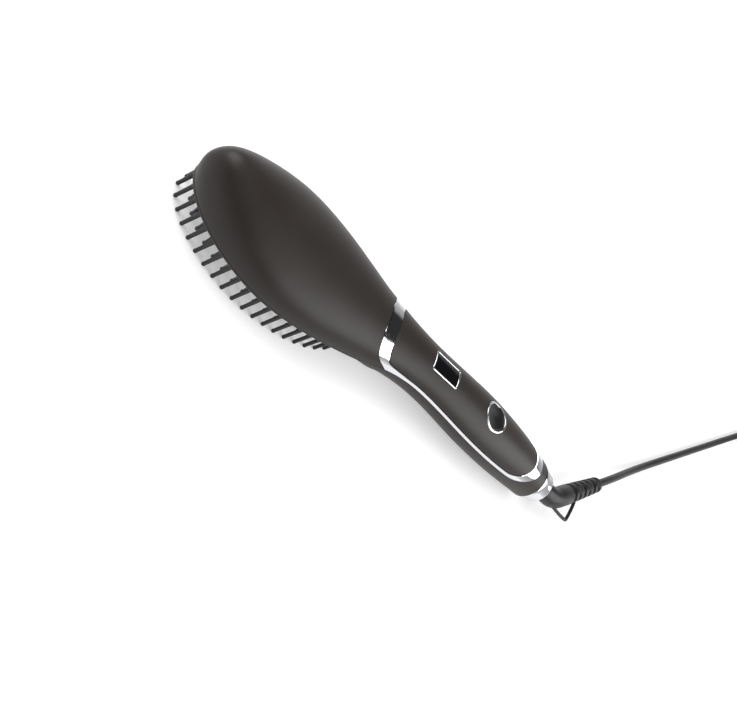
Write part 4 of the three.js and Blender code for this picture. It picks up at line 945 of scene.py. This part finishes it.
def spun(profile, steps=64):
    """A profile of (radius, height) points, spun once round the z axis"""
    bm = bmesh.new()
    verts = [bm.verts.new((radius, 0, z)) for radius, z in profile]
    closed = profile[0][0] > 0
    edges = [bm.edges.new(pair) for pair in zip(verts, verts[1:])]
    if closed:
        edges.append(bm.edges.new((verts[-1], verts[0])))
    bmesh.ops.spin(bm, geom=edges, axis=(0, 0, 1), angle=2 * math.pi, steps=steps, use_merge=True)
    bmesh.ops.remove_doubles(bm, verts=bm.verts, dist=1e-5)
    bmesh.ops.recalc_face_normals(bm, faces=bm.faces)
    return bm


# Zinc-plated steel: pressed or headed, then plated, so it is grey with a faint cast of blue and
# straw yellow in patches, and dull where the plating is rough
zinc = patchy_finish(
    "zinc_plated_steel",
    tones=("#a3a8ae", "#b9b6a8"),
    patches={"Scale": 450, "Detail": 3},
    spread=(0.35, 0.65),
    grain={"Scale": 3500, "Detail": 2},
    relief={"Strength": 0.2, "Distance": 0.00004},
    roughness=(0.24, 0.42),
    rest={"Metallic": 1},
)


def case_screw(x, y):
    """A pan-headed screw with a cross recess. Its head faces down and its ridged shank goes up."""
    ridges = [(CREST_RADIUS if n % 2 else ROOT_RADIUS, 0.4 + THREAD_STEP * n) for n in range(17)]
    head = [
        (0, -SCREW_HEAD_HEIGHT),
        (1.9, -SCREW_HEAD_HEIGHT),
        (2.25, -1.62),
        (SCREW_HEAD_RADIUS, -1.3),
        (SCREW_HEAD_RADIUS, 0),
        (ROOT_RADIUS, 0),
    ]
    screw = spun([*head, *ridges, (0.35, SCREW_LENGTH), (0, SCREW_LENGTH)], 32)
    bar = [(-1.5, -0.35), (1.5, -0.35), (1.5, 0.35), (-1.5, 0.35)]
    slots = [prism(outline, "Z", -3, -0.9) for outline in (bar, [(-v, u) for u, v in bar])]
    screw = carved(screw, *(("DIFFERENCE", slot) for slot in slots))
    bmesh.ops.translate(screw, verts=screw.verts, vec=(x, y, screw_seat(x, y)))
    return screw


for number, (x, y) in enumerate(screw_places, 1):
    screw = piece(f"recessed_screw_{number}", case_screw(x, y), zinc)
    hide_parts(f"case_screw_{number}")
    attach(screw, "brush")

# Front shell: the rim round the head with its ledge and rib, the fairing under the neck, the belly
# with its sunk screw holes, and the collar at the tail. One moulding, coated like the others.
RECESS_TOP = PIN_REACH + 1.35
RIB_WIDTH = 2.4
SCREW_POST = 6.4
SCREW_POCKET = 5.4
SCREW_CLEARANCE = 3.2
PEG_DIAMETER = 4
PEG_TIP = 2
COLLAR_RADIUS = 8.5
COLLAR_BORE_RADIUS = 6.9


def fairing():
    """The keeled wedge that runs from the rear of the opening down to the belly"""
    start, end = OPENING_REAR - 1, handle_x(0.13)
    low = belly_line(end)
    rings = []
    for t in np.linspace(0, 1, 9):
        half, keel = mix(7.2, 0.4, t), mix(PIN_REACH - 3, low - 0.25, t)
        top = mix(PIN_REACH - 2 * SEAM, low + 1, t)
        flank = keel + 0.35 * half
        edge = keel + 0.02
        upper = [(half, top), (-half, top), (-half, flank)]
        lower = [(-0.5, edge), (0.5, edge), (half, flank)]
        rings.append([Vector((mix(start, end, t), y, z)) for y, z in (*upper, *lower)])
    return skin_over(rings)


def tail_part(start, end, radius):
    """A round bar on the tail's axis, or the bore for one"""
    return skin_over([ring_across(Vector((x, 0, TAIL_Z)), 0, radius, 64) for x in (start, end)])


def standing(posts, region):
    """Posts joined to one solid, cut off where they leave the body's hollow and the shell's wall"""
    room = carved(body(WALL + SEAM), ("UNION", carved(body(0), ("INTERSECT", region))))
    joined = carved(posts[0], *(("UNION", other) for other in posts[1:]))
    return carved(joined, ("INTERSECT", room))


posts = []
holes = []
for x, y in screw_places:
    seat = screw_seat(x, y)
    posts.append(post(x, y, -9, seat + 1.6, SCREW_POST))
    holes.append(("DIFFERENCE", post(x, y, -9, seat, SCREW_POCKET)))
    holes.append(("DIFFERENCE", post(x, y, -9, SKY, SCREW_CLEARANCE)))
for x, y in peg_places:
    posts.append(post(x, y, -9, BOARD_HEIGHT - FIT, PEG_DIAMETER))
    posts.append(post(x, y, 0, BOARD_TOP, PEG_TIP))
supports = standing(posts, lower_region())
ledge = carved(oval(-0.2, RECESS_TOP, RIM_Z - 0.15), ("INTERSECT", body(0)))
shell = carved(
    body(0),
    ("DIFFERENCE", body(WALL)),
    ("INTERSECT", lower_region()),
    ("UNION", ledge),
    ("UNION", oval(1.65, RECESS_TOP, RIM_Z + 1.5)),
    ("UNION", fairing()),
    ("DIFFERENCE", oval(RIB_WIDTH, -9, RIM_Z + 9)),
    ("DIFFERENCE", oval(0, PIN_REACH - SEAM, RECESS_TOP)),
    ("UNION", supports),
    *holes,
    ("UNION", tail_part(BODY_LENGTH - 1, BODY_LENGTH + 4, COLLAR_RADIUS)),
    ("DIFFERENCE", tail_part(BODY_LENGTH - 5, BODY_LENGTH + 9, COLLAR_BORE_RADIUS)),
)
front_shell = piece("front_shell_moulding", shell, coated_abs)
even_sheen(front_shell)
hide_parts("front_shell")
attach(front_shell, "brush")

# Handle cover: the coated ABS shell over the grip, with a window for the display, a hole for the
# button, and posts that reach down to the screws and the board
DISPLAY_X = HEAD_LENGTH + 44
DISPLAY_LENGTH = 20.8
DISPLAY_WIDTH = 12.4
DISPLAY_CORNER = 1.4
CORNER_STEPS = 8
BUTTON_X = HEAD_LENGTH + 90.6
RING_DIAMETER = 18.4
COVER_POST = 5.4
SCREW_PILOT = 2.7


def on_back(x):
    """Takes a shape whose z = 0 is the surface to the back's ridge at a place along it"""
    slope = math.atan2(back_line(x - 4) - back_line(x + 4), 8)
    return Matrix.Translation((x, 0, float(back_line(x)))) @ Matrix.Rotation(slope, 4, "Y")


def display_outline(grow, corner):
    """The display's outline, grown on all sides"""
    half_length, half = DISPLAY_LENGTH / 2 + grow, DISPLAY_WIDTH / 2 + grow
    return rounded_corners((-half_length, -half), (half_length, half), corner, CORNER_STEPS)


def display_block(grow, low, high):
    """A block with the display's outline, standing on the back where the display is"""
    bm = prism(display_outline(grow, max(0.6, DISPLAY_CORNER + grow)), "Z", low, high)
    bmesh.ops.transform(bm, matrix=on_back(DISPLAY_X), verts=bm.verts)
    return bm


posts = []
holes = []
for x, y in peg_places:
    posts.append(post(x, y, BOARD_TOP + FIT, SKY, PEG_DIAMETER))
for x, y in screw_places:
    seat = screw_seat(x, y)
    posts.append(post(x, y, seat + 1.7, SKY, COVER_POST))
    holes.append(("DIFFERENCE", post(x, y, seat + 0.7, seat + SCREW_LENGTH + 1, SCREW_PILOT)))
supports = standing(posts, carved(upper_region(), ("INTERSECT", cover_region(0))))
button_hole = post(0, 0, -9, 9, RING_DIAMETER + 2 * SEAM, 64)
bmesh.ops.transform(button_hole, matrix=on_back(BUTTON_X), verts=button_hole.verts)
shell = carved(
    body(0),
    ("DIFFERENCE", body(WALL)),
    ("INTERSECT", upper_region()),
    ("INTERSECT", cover_region(0)),
    ("UNION", supports),
    *holes,
    ("DIFFERENCE", display_block(SEAM, -9, 9)),
    ("DIFFERENCE", button_hole),
)
handle_cover = piece("grip_cover", shell, coated_abs)
even_sheen(handle_cover)
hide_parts("handle_cover")
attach(handle_cover, "brush")

# Chrome trim: a band round the neck that runs on as a thin line along both sides of the grip, to a
# second band at the tail. It is plated ABS, clipped between the shells and a little proud of them.
TRIM_PROUD = 0.25

# Chrome on ABS, electroplated: a bright mirror with a faint haze from wiping, over the slight
# ripple of the moulding under it
chrome = bare_material("chrome_plated_abs")
place = add_node(chrome, "TexCoord").outputs["Object"]
haze = add_node(chrome, "TexNoise", {"Vector": place, "Scale": 160, "Detail": 3}).outputs["Fac"]
wear = add_node(chrome, "MapRange", {
    "Value": haze,
    "From Min": 0.3,
    "From Max": 0.7,
    "To Min": 0.05,
    "To Max": 0.1,
})
ripple = add_node(chrome, "TexNoise", {"Vector": place, "Scale": 320, "Detail": 1}).outputs["Fac"]
bump = add_node(chrome, "Bump", {"Height": ripple, "Strength": 0.04, "Distance": 0.0001})
finish_surface(chrome, {
    "Base Color": linear("#d4d5d8"),
    "Metallic": 1,
    "Roughness": wear.outputs["Result"],
    "Normal": bump.outputs["Normal"],
})

band = carved(
    body(-TRIM_PROUD),
    ("DIFFERENCE", body(WALL)),
    ("INTERSECT", upper_region()),
    ("DIFFERENCE", head_region(-SEAM)),
    ("DIFFERENCE", cover_region(-SEAM)),
)
trim = piece("neck_and_side_trim", band, chrome)
even_sheen(trim, -TRIM_PROUD)
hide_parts("chrome_trim")
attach(trim, "brush")

# Display: a thin chrome frame let into the grip cover, round a lens of smoke-tinted acrylic with a
# polished face. No digits show while the brush is off.
BEZEL_WIDTH = 1
BEZEL_PROUD = 0.4
LENS_DEPTH = 2.6
SIDE_STEPS = 14


def saddled(bm, x, least_z):
    """Lowers what stands above a height by as much as the body falls away from its ridge"""
    to_body = on_back(x)
    for vert in bm.verts:
        if vert.co.z > least_z:
            spot = to_body @ Vector((vert.co.x, vert.co.y, 0))
            top, middle, _, _, dome = section_at(spot.x, 0)
            aside = abs(spot.y / half_width(spot.x, 0))
            vert.co.z -= float((1 - (1 - aside**dome) ** (1 / dome)) * (top - middle))
    bmesh.ops.transform(bm, matrix=to_body, verts=bm.verts)
    return bm


def frame_side(profile):
    """A solid with the display's outline, grown and raised as a profile of (growth, height) says"""
    rings = []
    for grow, height in profile:
        outline = display_outline(grow, DISPLAY_CORNER + grow / 2)
        ring = []
        for i, (spot, following) in enumerate(zip(outline, [*outline[1:], outline[0]])):
            steps = SIDE_STEPS if i % (CORNER_STEPS + 1) == CORNER_STEPS else 1
            for n in range(steps):
                x, y = (mix(a, b, n / steps) for a, b in zip(spot, following))
                ring.append(Vector((x, y, height)))
        rings.append(ring)
    return skin_over(rings)


outer_side = [
    (0, -3.2),
    (0, -0.1),
    (-0.03, 0.12),
    (-0.14, 0.28),
    (-0.3, 0.37),
    (-0.45, BEZEL_PROUD),
]
inner_side = [
    (-BEZEL_WIDTH, -4),
    (-BEZEL_WIDTH, -0.1),
    (-0.97, 0.1),
    (-0.88, 0.25),
    (-0.7, 0.36),
    (-0.5, BEZEL_PROUD + 0.01),
    (-0.5, 2),
]
frame_block = carved(
    saddled(frame_side(outer_side), DISPLAY_X, -1),
    ("DIFFERENCE", saddled(frame_side(inner_side), DISPLAY_X, -1)),
)
bezel = piece("display_frame", frame_block, chrome, 50)
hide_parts("display_bezel")
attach(bezel, "brush")

# Acrylic, smoke-tinted and polished: near black with a clear gloss, a little duller where dust lies
acrylic = bare_material("smoke_tinted_acrylic")
place = add_node(acrylic, "TexCoord").outputs["Object"]
dust = add_node(acrylic, "TexNoise", {"Vector": place, "Scale": 240, "Detail": 4}).outputs["Fac"]
wear = add_node(acrylic, "MapRange", {
    "Value": dust,
    "From Min": 0.3,
    "From Max": 0.7,
    "To Min": 0.05,
    "To Max": 0.09,
})
finish_surface(acrylic, {
    "Base Color": linear("#0c0c0e"),
    "Roughness": wear.outputs["Result"],
    "IOR": 1.49,
    "Coat Weight": 0.3,
    "Coat Roughness": 0.04,
})

lens_block = carved(display_block(-BEZEL_WIDTH - FIT, -LENS_DEPTH, 9), ("INTERSECT", body(0)))
lens = piece("display_window", lens_block, acrylic)
even_sheen(lens)
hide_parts("display_lens")
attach(lens, "brush")

# Button: a dished cap of moulded black nylon, in a rounded chrome ring. The cap slides along the
# ring's axis and is kept in by a flange below the ring. Both follow the curve of the grip.
RING_WIDTH = 1.3
RING_DEPTH = 3
CAP_RADIUS = RING_DIAMETER / 2 - RING_WIDTH - SEAM
CAP_FLANGE_TOP = -RING_DEPTH - SEAM
CAP_FLANGE = 0.9
CAP_DISH = 1.7

outer, inner = RING_DIAMETER / 2, RING_DIAMETER / 2 - RING_WIDTH
crest = [
    (mix(inner, outer, (1 - math.cos(t)) / 2), 0.1 + 0.35 * math.sin(t))
    for t in np.linspace(0, math.pi, 9)
]
ring_block = saddled(spun([(inner, -RING_DEPTH), *crest, (outer, -RING_DEPTH)]), BUTTON_X, -1)
ring = piece("button_surround", ring_block, chrome, 50)
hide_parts("button_ring")
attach(ring, "brush")

# Nylon, moulded: a deep, slightly warm black with a dull gloss and the fine grain of the mould
nylon = patchy_finish(
    "moulded_black_nylon",
    tones=("#0e0d0d", "#151414"),
    patches={"Scale": 120, "Detail": 3},
    spread=(0, 1),
    grain={"Scale": 2200, "Detail": 2},
    relief={"Strength": 0.15, "Distance": 0.0001},
    roughness=(0.38, 0.46),
    rest={"IOR": 1.53, "Specular IOR Level": 0.36},
)

dish = [
    (CAP_RADIUS * share, -0.15 - 1.55 * math.cos(math.pi / 2 * share) ** 1.4)
    for share in np.linspace(0.96, 0.06, 16)
]
cap_block = saddled(spun([
    (0, CAP_FLANGE_TOP - CAP_FLANGE),
    (CAP_RADIUS + CAP_FLANGE, CAP_FLANGE_TOP - CAP_FLANGE),
    (CAP_RADIUS + CAP_FLANGE, CAP_FLANGE_TOP),
    (CAP_RADIUS, CAP_FLANGE_TOP),
    (CAP_RADIUS, -0.45),
    (CAP_RADIUS - 0.08, -0.25),
    *dish,
    (0, -CAP_DISH),
]), BUTTON_X, -2)
cap = piece("power_button_cap", cap_block, nylon, 50)
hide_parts("button_cap")
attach(cap, "button")

# Pin frame: a ring of moulded black nylon, clamped in the recess of the front shell, with a row of
# blunt pins round the head. The pins fan out a little at the nose.
PIN_DIAMETER = 2
PIN_SPACING = 6.9
PIN_INSET = 1.35
PIN_FAN = 1.3
PIN_ROOT = PIN_REACH + 0.4
PIN_FREE_HALF = 8.4
FRAME_WIDTH = 3.4
FRAME_TOP = PIN_REACH + 1.2


def along_opening(inset, spacing, phase):
    """Evenly spaced places along the opening, from the tip round both sides"""
    half_turn = np.linspace(math.pi, 0, 901)
    c, s = np.cos(half_turn), np.sin(half_turn)
    power = 2 / np.where(c > 0, OPENING_REAR_POWER, NOSE_POWER)
    reach = np.where(c > 0, OPENING_REAR - WIDEST_AT, WIDEST_AT - OPENING_FRONT) - inset
    xs = WIDEST_AT + reach * np.sign(c) * np.abs(c) ** power
    ys = (OPENING_WIDTH / 2 - inset) * np.clip(s, 0, 1) ** power
    lengths = np.concatenate([[0], np.cumsum(np.hypot(np.diff(xs), np.diff(ys)))])
    gaps = round(lengths[-1] / spacing)
    places = []
    for n in range(gaps + 1):
        if n + phase > gaps:
            break
        i = int(np.searchsorted(lengths, (n + phase) * lengths[-1] / gaps - 1e-6))
        i = min(i, len(xs) - 1)
        places.append((xs[i], ys[i]))
        if ys[i] > spacing / 3:
            places.append((xs[i], -ys[i]))
    return places


def pin_rings(x, y):
    """Rings of one pin from its root to its blunt end, a little thicker at both. It leans forward
    more, the nearer it is to the nose."""
    fan = PIN_FAN * min(1, max(0, (WIDEST_AT - x) / (WIDEST_AT - OPENING_FRONT)))
    outline = (
        (PIN_ROOT, 1.25),
        (PIN_REACH - 0.6, 1.14),
        (9, 1.07),
        (1.9, 1.02),
        (1.3, 1.12),
        (0.75, 1.12),
        (0.35, 0.92),
        (0.1, 0.56),
        (0, 0.25),
    )
    around = [Vector((math.cos(t), math.sin(t), 0)) for t in round_places(14)]
    rings = []
    for z, thickness in outline:
        lean = fan * (PIN_ROOT - z) / (PIN_REACH - 0.3)
        centre = Vector((x - min(lean, fan), y, z))
        rings.append([centre + thickness * PIN_DIAMETER / 2 * way for way in around])
    return rings


pins = [
    (x, y)
    for x, y in along_opening(PIN_INSET, PIN_SPACING, 0)
    if x < WIDEST_AT or abs(y) > PIN_FREE_HALF
]
collar = FRAME_WIDTH + SEAM
frame_ring = carved(
    oval(SEAM, PIN_REACH, FRAME_TOP),
    ("UNION", oval(collar - 1.1, PIN_REACH, PIN_REACH + 2.4)),
    ("DIFFERENCE", oval(collar, PIN_REACH - 1, PIN_REACH + 4)),
    *(("UNION", skin_over(pin_rings(x, y))) for x, y in pins),
)
pin_frame = piece("bristle_pin_frame", frame_ring, nylon, 40)
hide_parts("pin_frame")
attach(pin_frame, "brush")

# Heater plate: die-cast aluminium with a glossy dark blue ceramic coating. Its three-lobed teeth
# with ball ends carry the heat into the hair. Its edge lies on the pin frame's collar.
PLATE_Z = PIN_REACH + 0.5
PLATE_TOP = PLATE_Z + 2.9
TOOTH_TIP = PLATE_Z - 15.7
TOOTH_INSET = 7.4
TOOTH_SPACING = 7.4
ROW_SPACING = 8.3
ROW_GAP = 11.6
TOOTH_ROOM = 6.2
STRAP_HALF = 48.5

# Ceramic coating on cast aluminium, sprayed and baked: glossy blue-black, and faintly uneven where
# it flowed before it set
ceramic_coat = patchy_finish(
    "ceramic_coated_casting",
    tones=("#0c0f18", "#161b2b"),
    patches={"Scale": 140, "Detail": 3},
    spread=(0, 1),
    grain={"Scale": 1800, "Detail": 2},
    relief={"Strength": 0.06, "Distance": 0.0001},
    roughness=(0.12, 0.2),
    rest={"IOR": 1.6, "Coat Weight": 0.5, "Coat Roughness": 0.08},
)


def tooth_rings(x, y, turned_to):
    """Rings of one tooth as (height, radius, depth of its three lobes), from root to ball end"""
    outline = (
        (PLATE_Z + 0.6, 3.05, 0.26),
        (PLATE_Z - 0.1, 2.72, 0.3),
        (PLATE_Z - 1.2, 2.4, 0.3),
        (PLATE_Z - 5, 1.9, 0.26),
        (PLATE_Z - 9, 1.4, 0.18),
        (TOOTH_TIP + 2.6, 0.92, 0.05),
        (TOOTH_TIP + 2, 1.04, 0),
        (TOOTH_TIP + 1.3, 1.2, 0),
        (TOOTH_TIP + 0.7, 1.1, 0),
        (TOOTH_TIP + 0.25, 0.8, 0),
        (TOOTH_TIP, 0.4, 0),
    )
    rings = []
    for z, radius, lobes in outline:
        ring = []
        for turn in round_places(15):
            reach = radius * (1 - lobes * (1 - math.cos(3 * turn)))
            way = turn + turned_to
            ring.append(Vector((x + reach * math.cos(way), y + reach * math.sin(way), z)))
        rings.append(ring)
    return rings


border = along_opening(TOOTH_INSET, TOOTH_SPACING, 0.5)
teeth = [(x, y, math.atan2(y, x - WIDEST_AT)) for x, y in border]
for row in (-1, 0, 1):
    for n in range(-8, 9):
        x = WIDEST_AT + (0 if row == 0 else ROW_SPACING / 2) + n * ROW_SPACING
        y = row * ROW_GAP
        room = min(math.hypot(x - bx, y - by) for bx, by in border)
        if OPENING_FRONT + TOOTH_INSET < x < OPENING_REAR - TOOTH_INSET and room > TOOTH_ROOM:
            teeth.append((x, y, 0))
edge = SEAM + collar
strap_screws = [(WIDEST_AT + side * STRAP_HALF, 0) for side in (-1, 1)]
plate = carved(
    oval(edge, PLATE_Z, PLATE_TOP),
    ("UNION", oval(edge - 1.1, PIN_REACH + 2.5, PIN_REACH + 3.4)),
    *(("UNION", post(x, y, PLATE_TOP - 1, PLATE_TOP + 2.1, 5)) for x, y in strap_screws),
    *(("UNION", skin_over(tooth_rings(*tooth))) for tooth in teeth),
    *(("DIFFERENCE", post(x, y, PLATE_Z + 1, SKY, 2.6)) for x, y in strap_screws),
)
heater_plate = piece("heater_plate_casting", plate, ceramic_coat, 40)
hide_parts("heater_plate")
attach(heater_plate, "brush")

# Heater: a flat alumina plate with its track fired in, a sheet of mica over it, a steel strap with
# two screws that presses both on the casting, and a thermistor and a fuse beside them
def dressed(material, *names):
    """Gives pieces of the frame that are shown as they are their real material"""
    for name in names:
        for place_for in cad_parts[name].material_slots:
            place_for.material = material


# Alumina, pressed and fired: a chalky warm white with a fine tooth and faint grey firing marks
alumina = patchy_finish(
    "fired_alumina",
    tones=("#d6d2c8", "#ece9e1"),
    patches={"Scale": 130, "Detail": 4},
    spread=(0.3, 0.6),
    grain={"Scale": 2600, "Detail": 2},
    relief={"Strength": 0.3, "Distance": 0.00005},
    roughness=0.7,
    rest={"IOR": 1.76},
)

# Mica: flakes pressed to a sheet, amber and brown, each flake with its own tone and gloss
mica = bare_material("pressed_mica")
place = add_node(mica, "TexCoord").outputs["Object"]
flakes = add_node(mica, "TexVoronoi", {"Vector": place, "Scale": 420, "Randomness": 1})
flake = add_node(mica, "SeparateColor", {"Color": flakes.outputs["Color"]}).outputs["Red"]
tone = add_node(mica, "ValToRGB", {"Fac": flake})
tone.color_ramp.elements[0].color = linear("#a07d4c")
tone.color_ramp.elements[1].color = linear("#c9a873")
wear = add_node(mica, "MapRange", {"Value": flake, "To Min": 0.25, "To Max": 0.5})
bump = add_node(mica, "Bump", {"Height": flake, "Strength": 0.3, "Distance": 0.00003})
finish_surface(mica, {
    "Base Color": tone.outputs["Color"],
    "Roughness": wear.outputs["Result"],
    "IOR": 1.58,
    "Normal": bump.outputs["Normal"],
})

dressed(alumina, "heater_element", "thermistor")
dressed(mica, "insulating_sheet")
dressed(zinc, "heater_strap", "strap_screw_1", "strap_screw_2", "thermal_fuse")

# Circuit board: a glass-filled epoxy board with copper tracks. It lies on the pegs of the front
# shell and carries the display module, the switch, a triac and a capacitor.

# Solder mask on glass-filled epoxy, printed and cured: glossy green, lighter and raised over tracks
solder_mask = bare_material("solder_mask_on_glass_epoxy")
place = add_node(solder_mask, "TexCoord").outputs["Object"]
cells = {"Vector": place, "Scale": 260, "Randomness": 0.6}
lanes = add_node(solder_mask, "TexVoronoi", cells, feature="DISTANCE_TO_EDGE", distance="EUCLIDEAN")
track = add_node(solder_mask, "MapRange", {
    "Value": lanes.outputs["Distance"],
    "From Min": 0.09,
    "From Max": 0.12,
    "To Min": 1,
    "To Max": 0,
}).outputs["Result"]
tone = add_node(solder_mask, "ValToRGB", {"Fac": track})
tone.color_ramp.elements[0].color = linear("#0f4527")
tone.color_ramp.elements[1].color = linear("#2b7a45")
bump = add_node(solder_mask, "Bump", {"Height": track, "Strength": 0.5, "Distance": 0.00004})
finish_surface(solder_mask, {
    "Base Color": tone.outputs["Color"],
    "Roughness": 0.3,
    "IOR": 1.55,
    "Normal": bump.outputs["Normal"],
})

# Shrunk sleeve of the capacitor: thin dark PVC film, glossy, a little wavy from shrinking
sleeve = bare_material("shrunk_pvc_sleeve")
place = add_node(sleeve, "TexCoord").outputs["Object"]
waves = add_node(sleeve, "TexNoise", {"Vector": place, "Scale": 300, "Detail": 2}).outputs["Fac"]
tone = add_node(sleeve, "ValToRGB", {"Fac": waves})
tone.color_ramp.elements[0].color = linear("#17181d")
tone.color_ramp.elements[1].color = linear("#23252c")
bump = add_node(sleeve, "Bump", {"Height": waves, "Strength": 0.3, "Distance": 0.0001})
finish_surface(sleeve, {
    "Base Color": tone.outputs["Color"],
    "Roughness": 0.22,
    "IOR": 1.53,
    "Normal": bump.outputs["Normal"],
})

dressed(solder_mask, "circuit_board")
dressed(sleeve, "capacitor")
dressed(nylon, "display_module", "triac", "tact_switch", "switch_plunger")

# Swivel: a nylon spindle that turns with the strain relief and carries two brass slip rings, and a
# nylon holder with two brass leaf springs, which stop just short of them

# Brass, turned or stamped and left bare: warm yellow with fine lathe marks, browner and duller
# where it has tarnished
brass = bare_material("bare_brass")
place = add_node(brass, "TexCoord").outputs["Object"]
turned = add_node(brass, "Mapping", {"Vector": place, "Scale": (6000, 40, 40)}).outputs["Vector"]
lathed = add_node(brass, "TexNoise", {"Vector": turned, "Scale": 1, "Detail": 2}).outputs["Fac"]
tarnish = add_node(brass, "TexNoise", {"Vector": place, "Scale": 380, "Detail": 4}).outputs["Fac"]
tone = add_node(brass, "ValToRGB", {"Fac": tarnish})
tone.color_ramp.elements[0].position, tone.color_ramp.elements[1].position = 0.35, 0.6
tone.color_ramp.elements[0].color = linear("#a98445")
tone.color_ramp.elements[1].color = linear("#d5b472")
wear = add_node(brass, "MapRange", {
    "Value": tarnish,
    "From Min": 0.35,
    "From Max": 0.6,
    "To Min": 0.4,
    "To Max": 0.2,
})
bump = add_node(brass, "Bump", {"Height": lathed, "Strength": 0.15, "Distance": 0.00004})
finish_surface(brass, {
    "Base Color": tone.outputs["Color"],
    "Metallic": 1,
    "Roughness": wear.outputs["Result"],
    "Normal": bump.outputs["Normal"],
})

dressed(nylon, "swivel_spindle", "contact_holder")
dressed(brass, "slip_ring_1", "slip_ring_2", "contact_spring_1", "contact_spring_2")

# Leads: stranded wire in white silicone, which stands the heat. Two run from the swivel's contacts
# to the board, and two from the board to the heater.

# Silicone, extruded: soft off-white, dull, and faintly see-through at its edges
silicone = patchy_finish(
    "silicone_insulation",
    tones=("#d3cfc7", "#e6e3dc"),
    patches={"Scale": 200, "Detail": 3},
    spread=(0, 1),
    grain={"Scale": 2400, "Detail": 2},
    relief={"Strength": 0.2, "Distance": 0.00005},
    roughness=0.55,
    rest={"IOR": 1.41, "Subsurface Weight": 0.1, "Subsurface Radius": (0.0006, 0.0006, 0.0006)},
)

dressed(silicone, "heater_lead_1", "heater_lead_2", "supply_lead_1", "supply_lead_2")

# Tail ring: a sleeve of chrome-plated ABS, pushed over the collar of the front shell. The strain
# relief turns in it. Its profile is (radius, distance behind the body).
tail_profile = [
    (8.6, 0.3),
    (12.2, 0.3),
    (12.62, 0.42),
    (12.86, 0.8),
    (12.9, 1.4),
    (12.55, 3.2),
    (11.9, 5.4),
    (11.3, 7.8),
    (10.9, 9.9),
    (10.75, 10.5),
    (10.4, 10.88),
    (9.9, 11),
    (7.2, 11),
    (6.95, 10.8),
    (6.9, 10.4),
    (6.9, 4.1),
    (8.6, 4.1),
]
tail_block = spun(tail_profile)
to_tail = Matrix.Translation((BODY_LENGTH, 0, TAIL_Z)) @ Matrix.Rotation(math.pi / 2, 4, "Y")
bmesh.ops.transform(tail_block, matrix=to_tail, verts=tail_block.verts)
tail_ring = piece("tail_sleeve", tail_block, chrome, 40)
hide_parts("tail_ring")
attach(tail_ring, "brush")
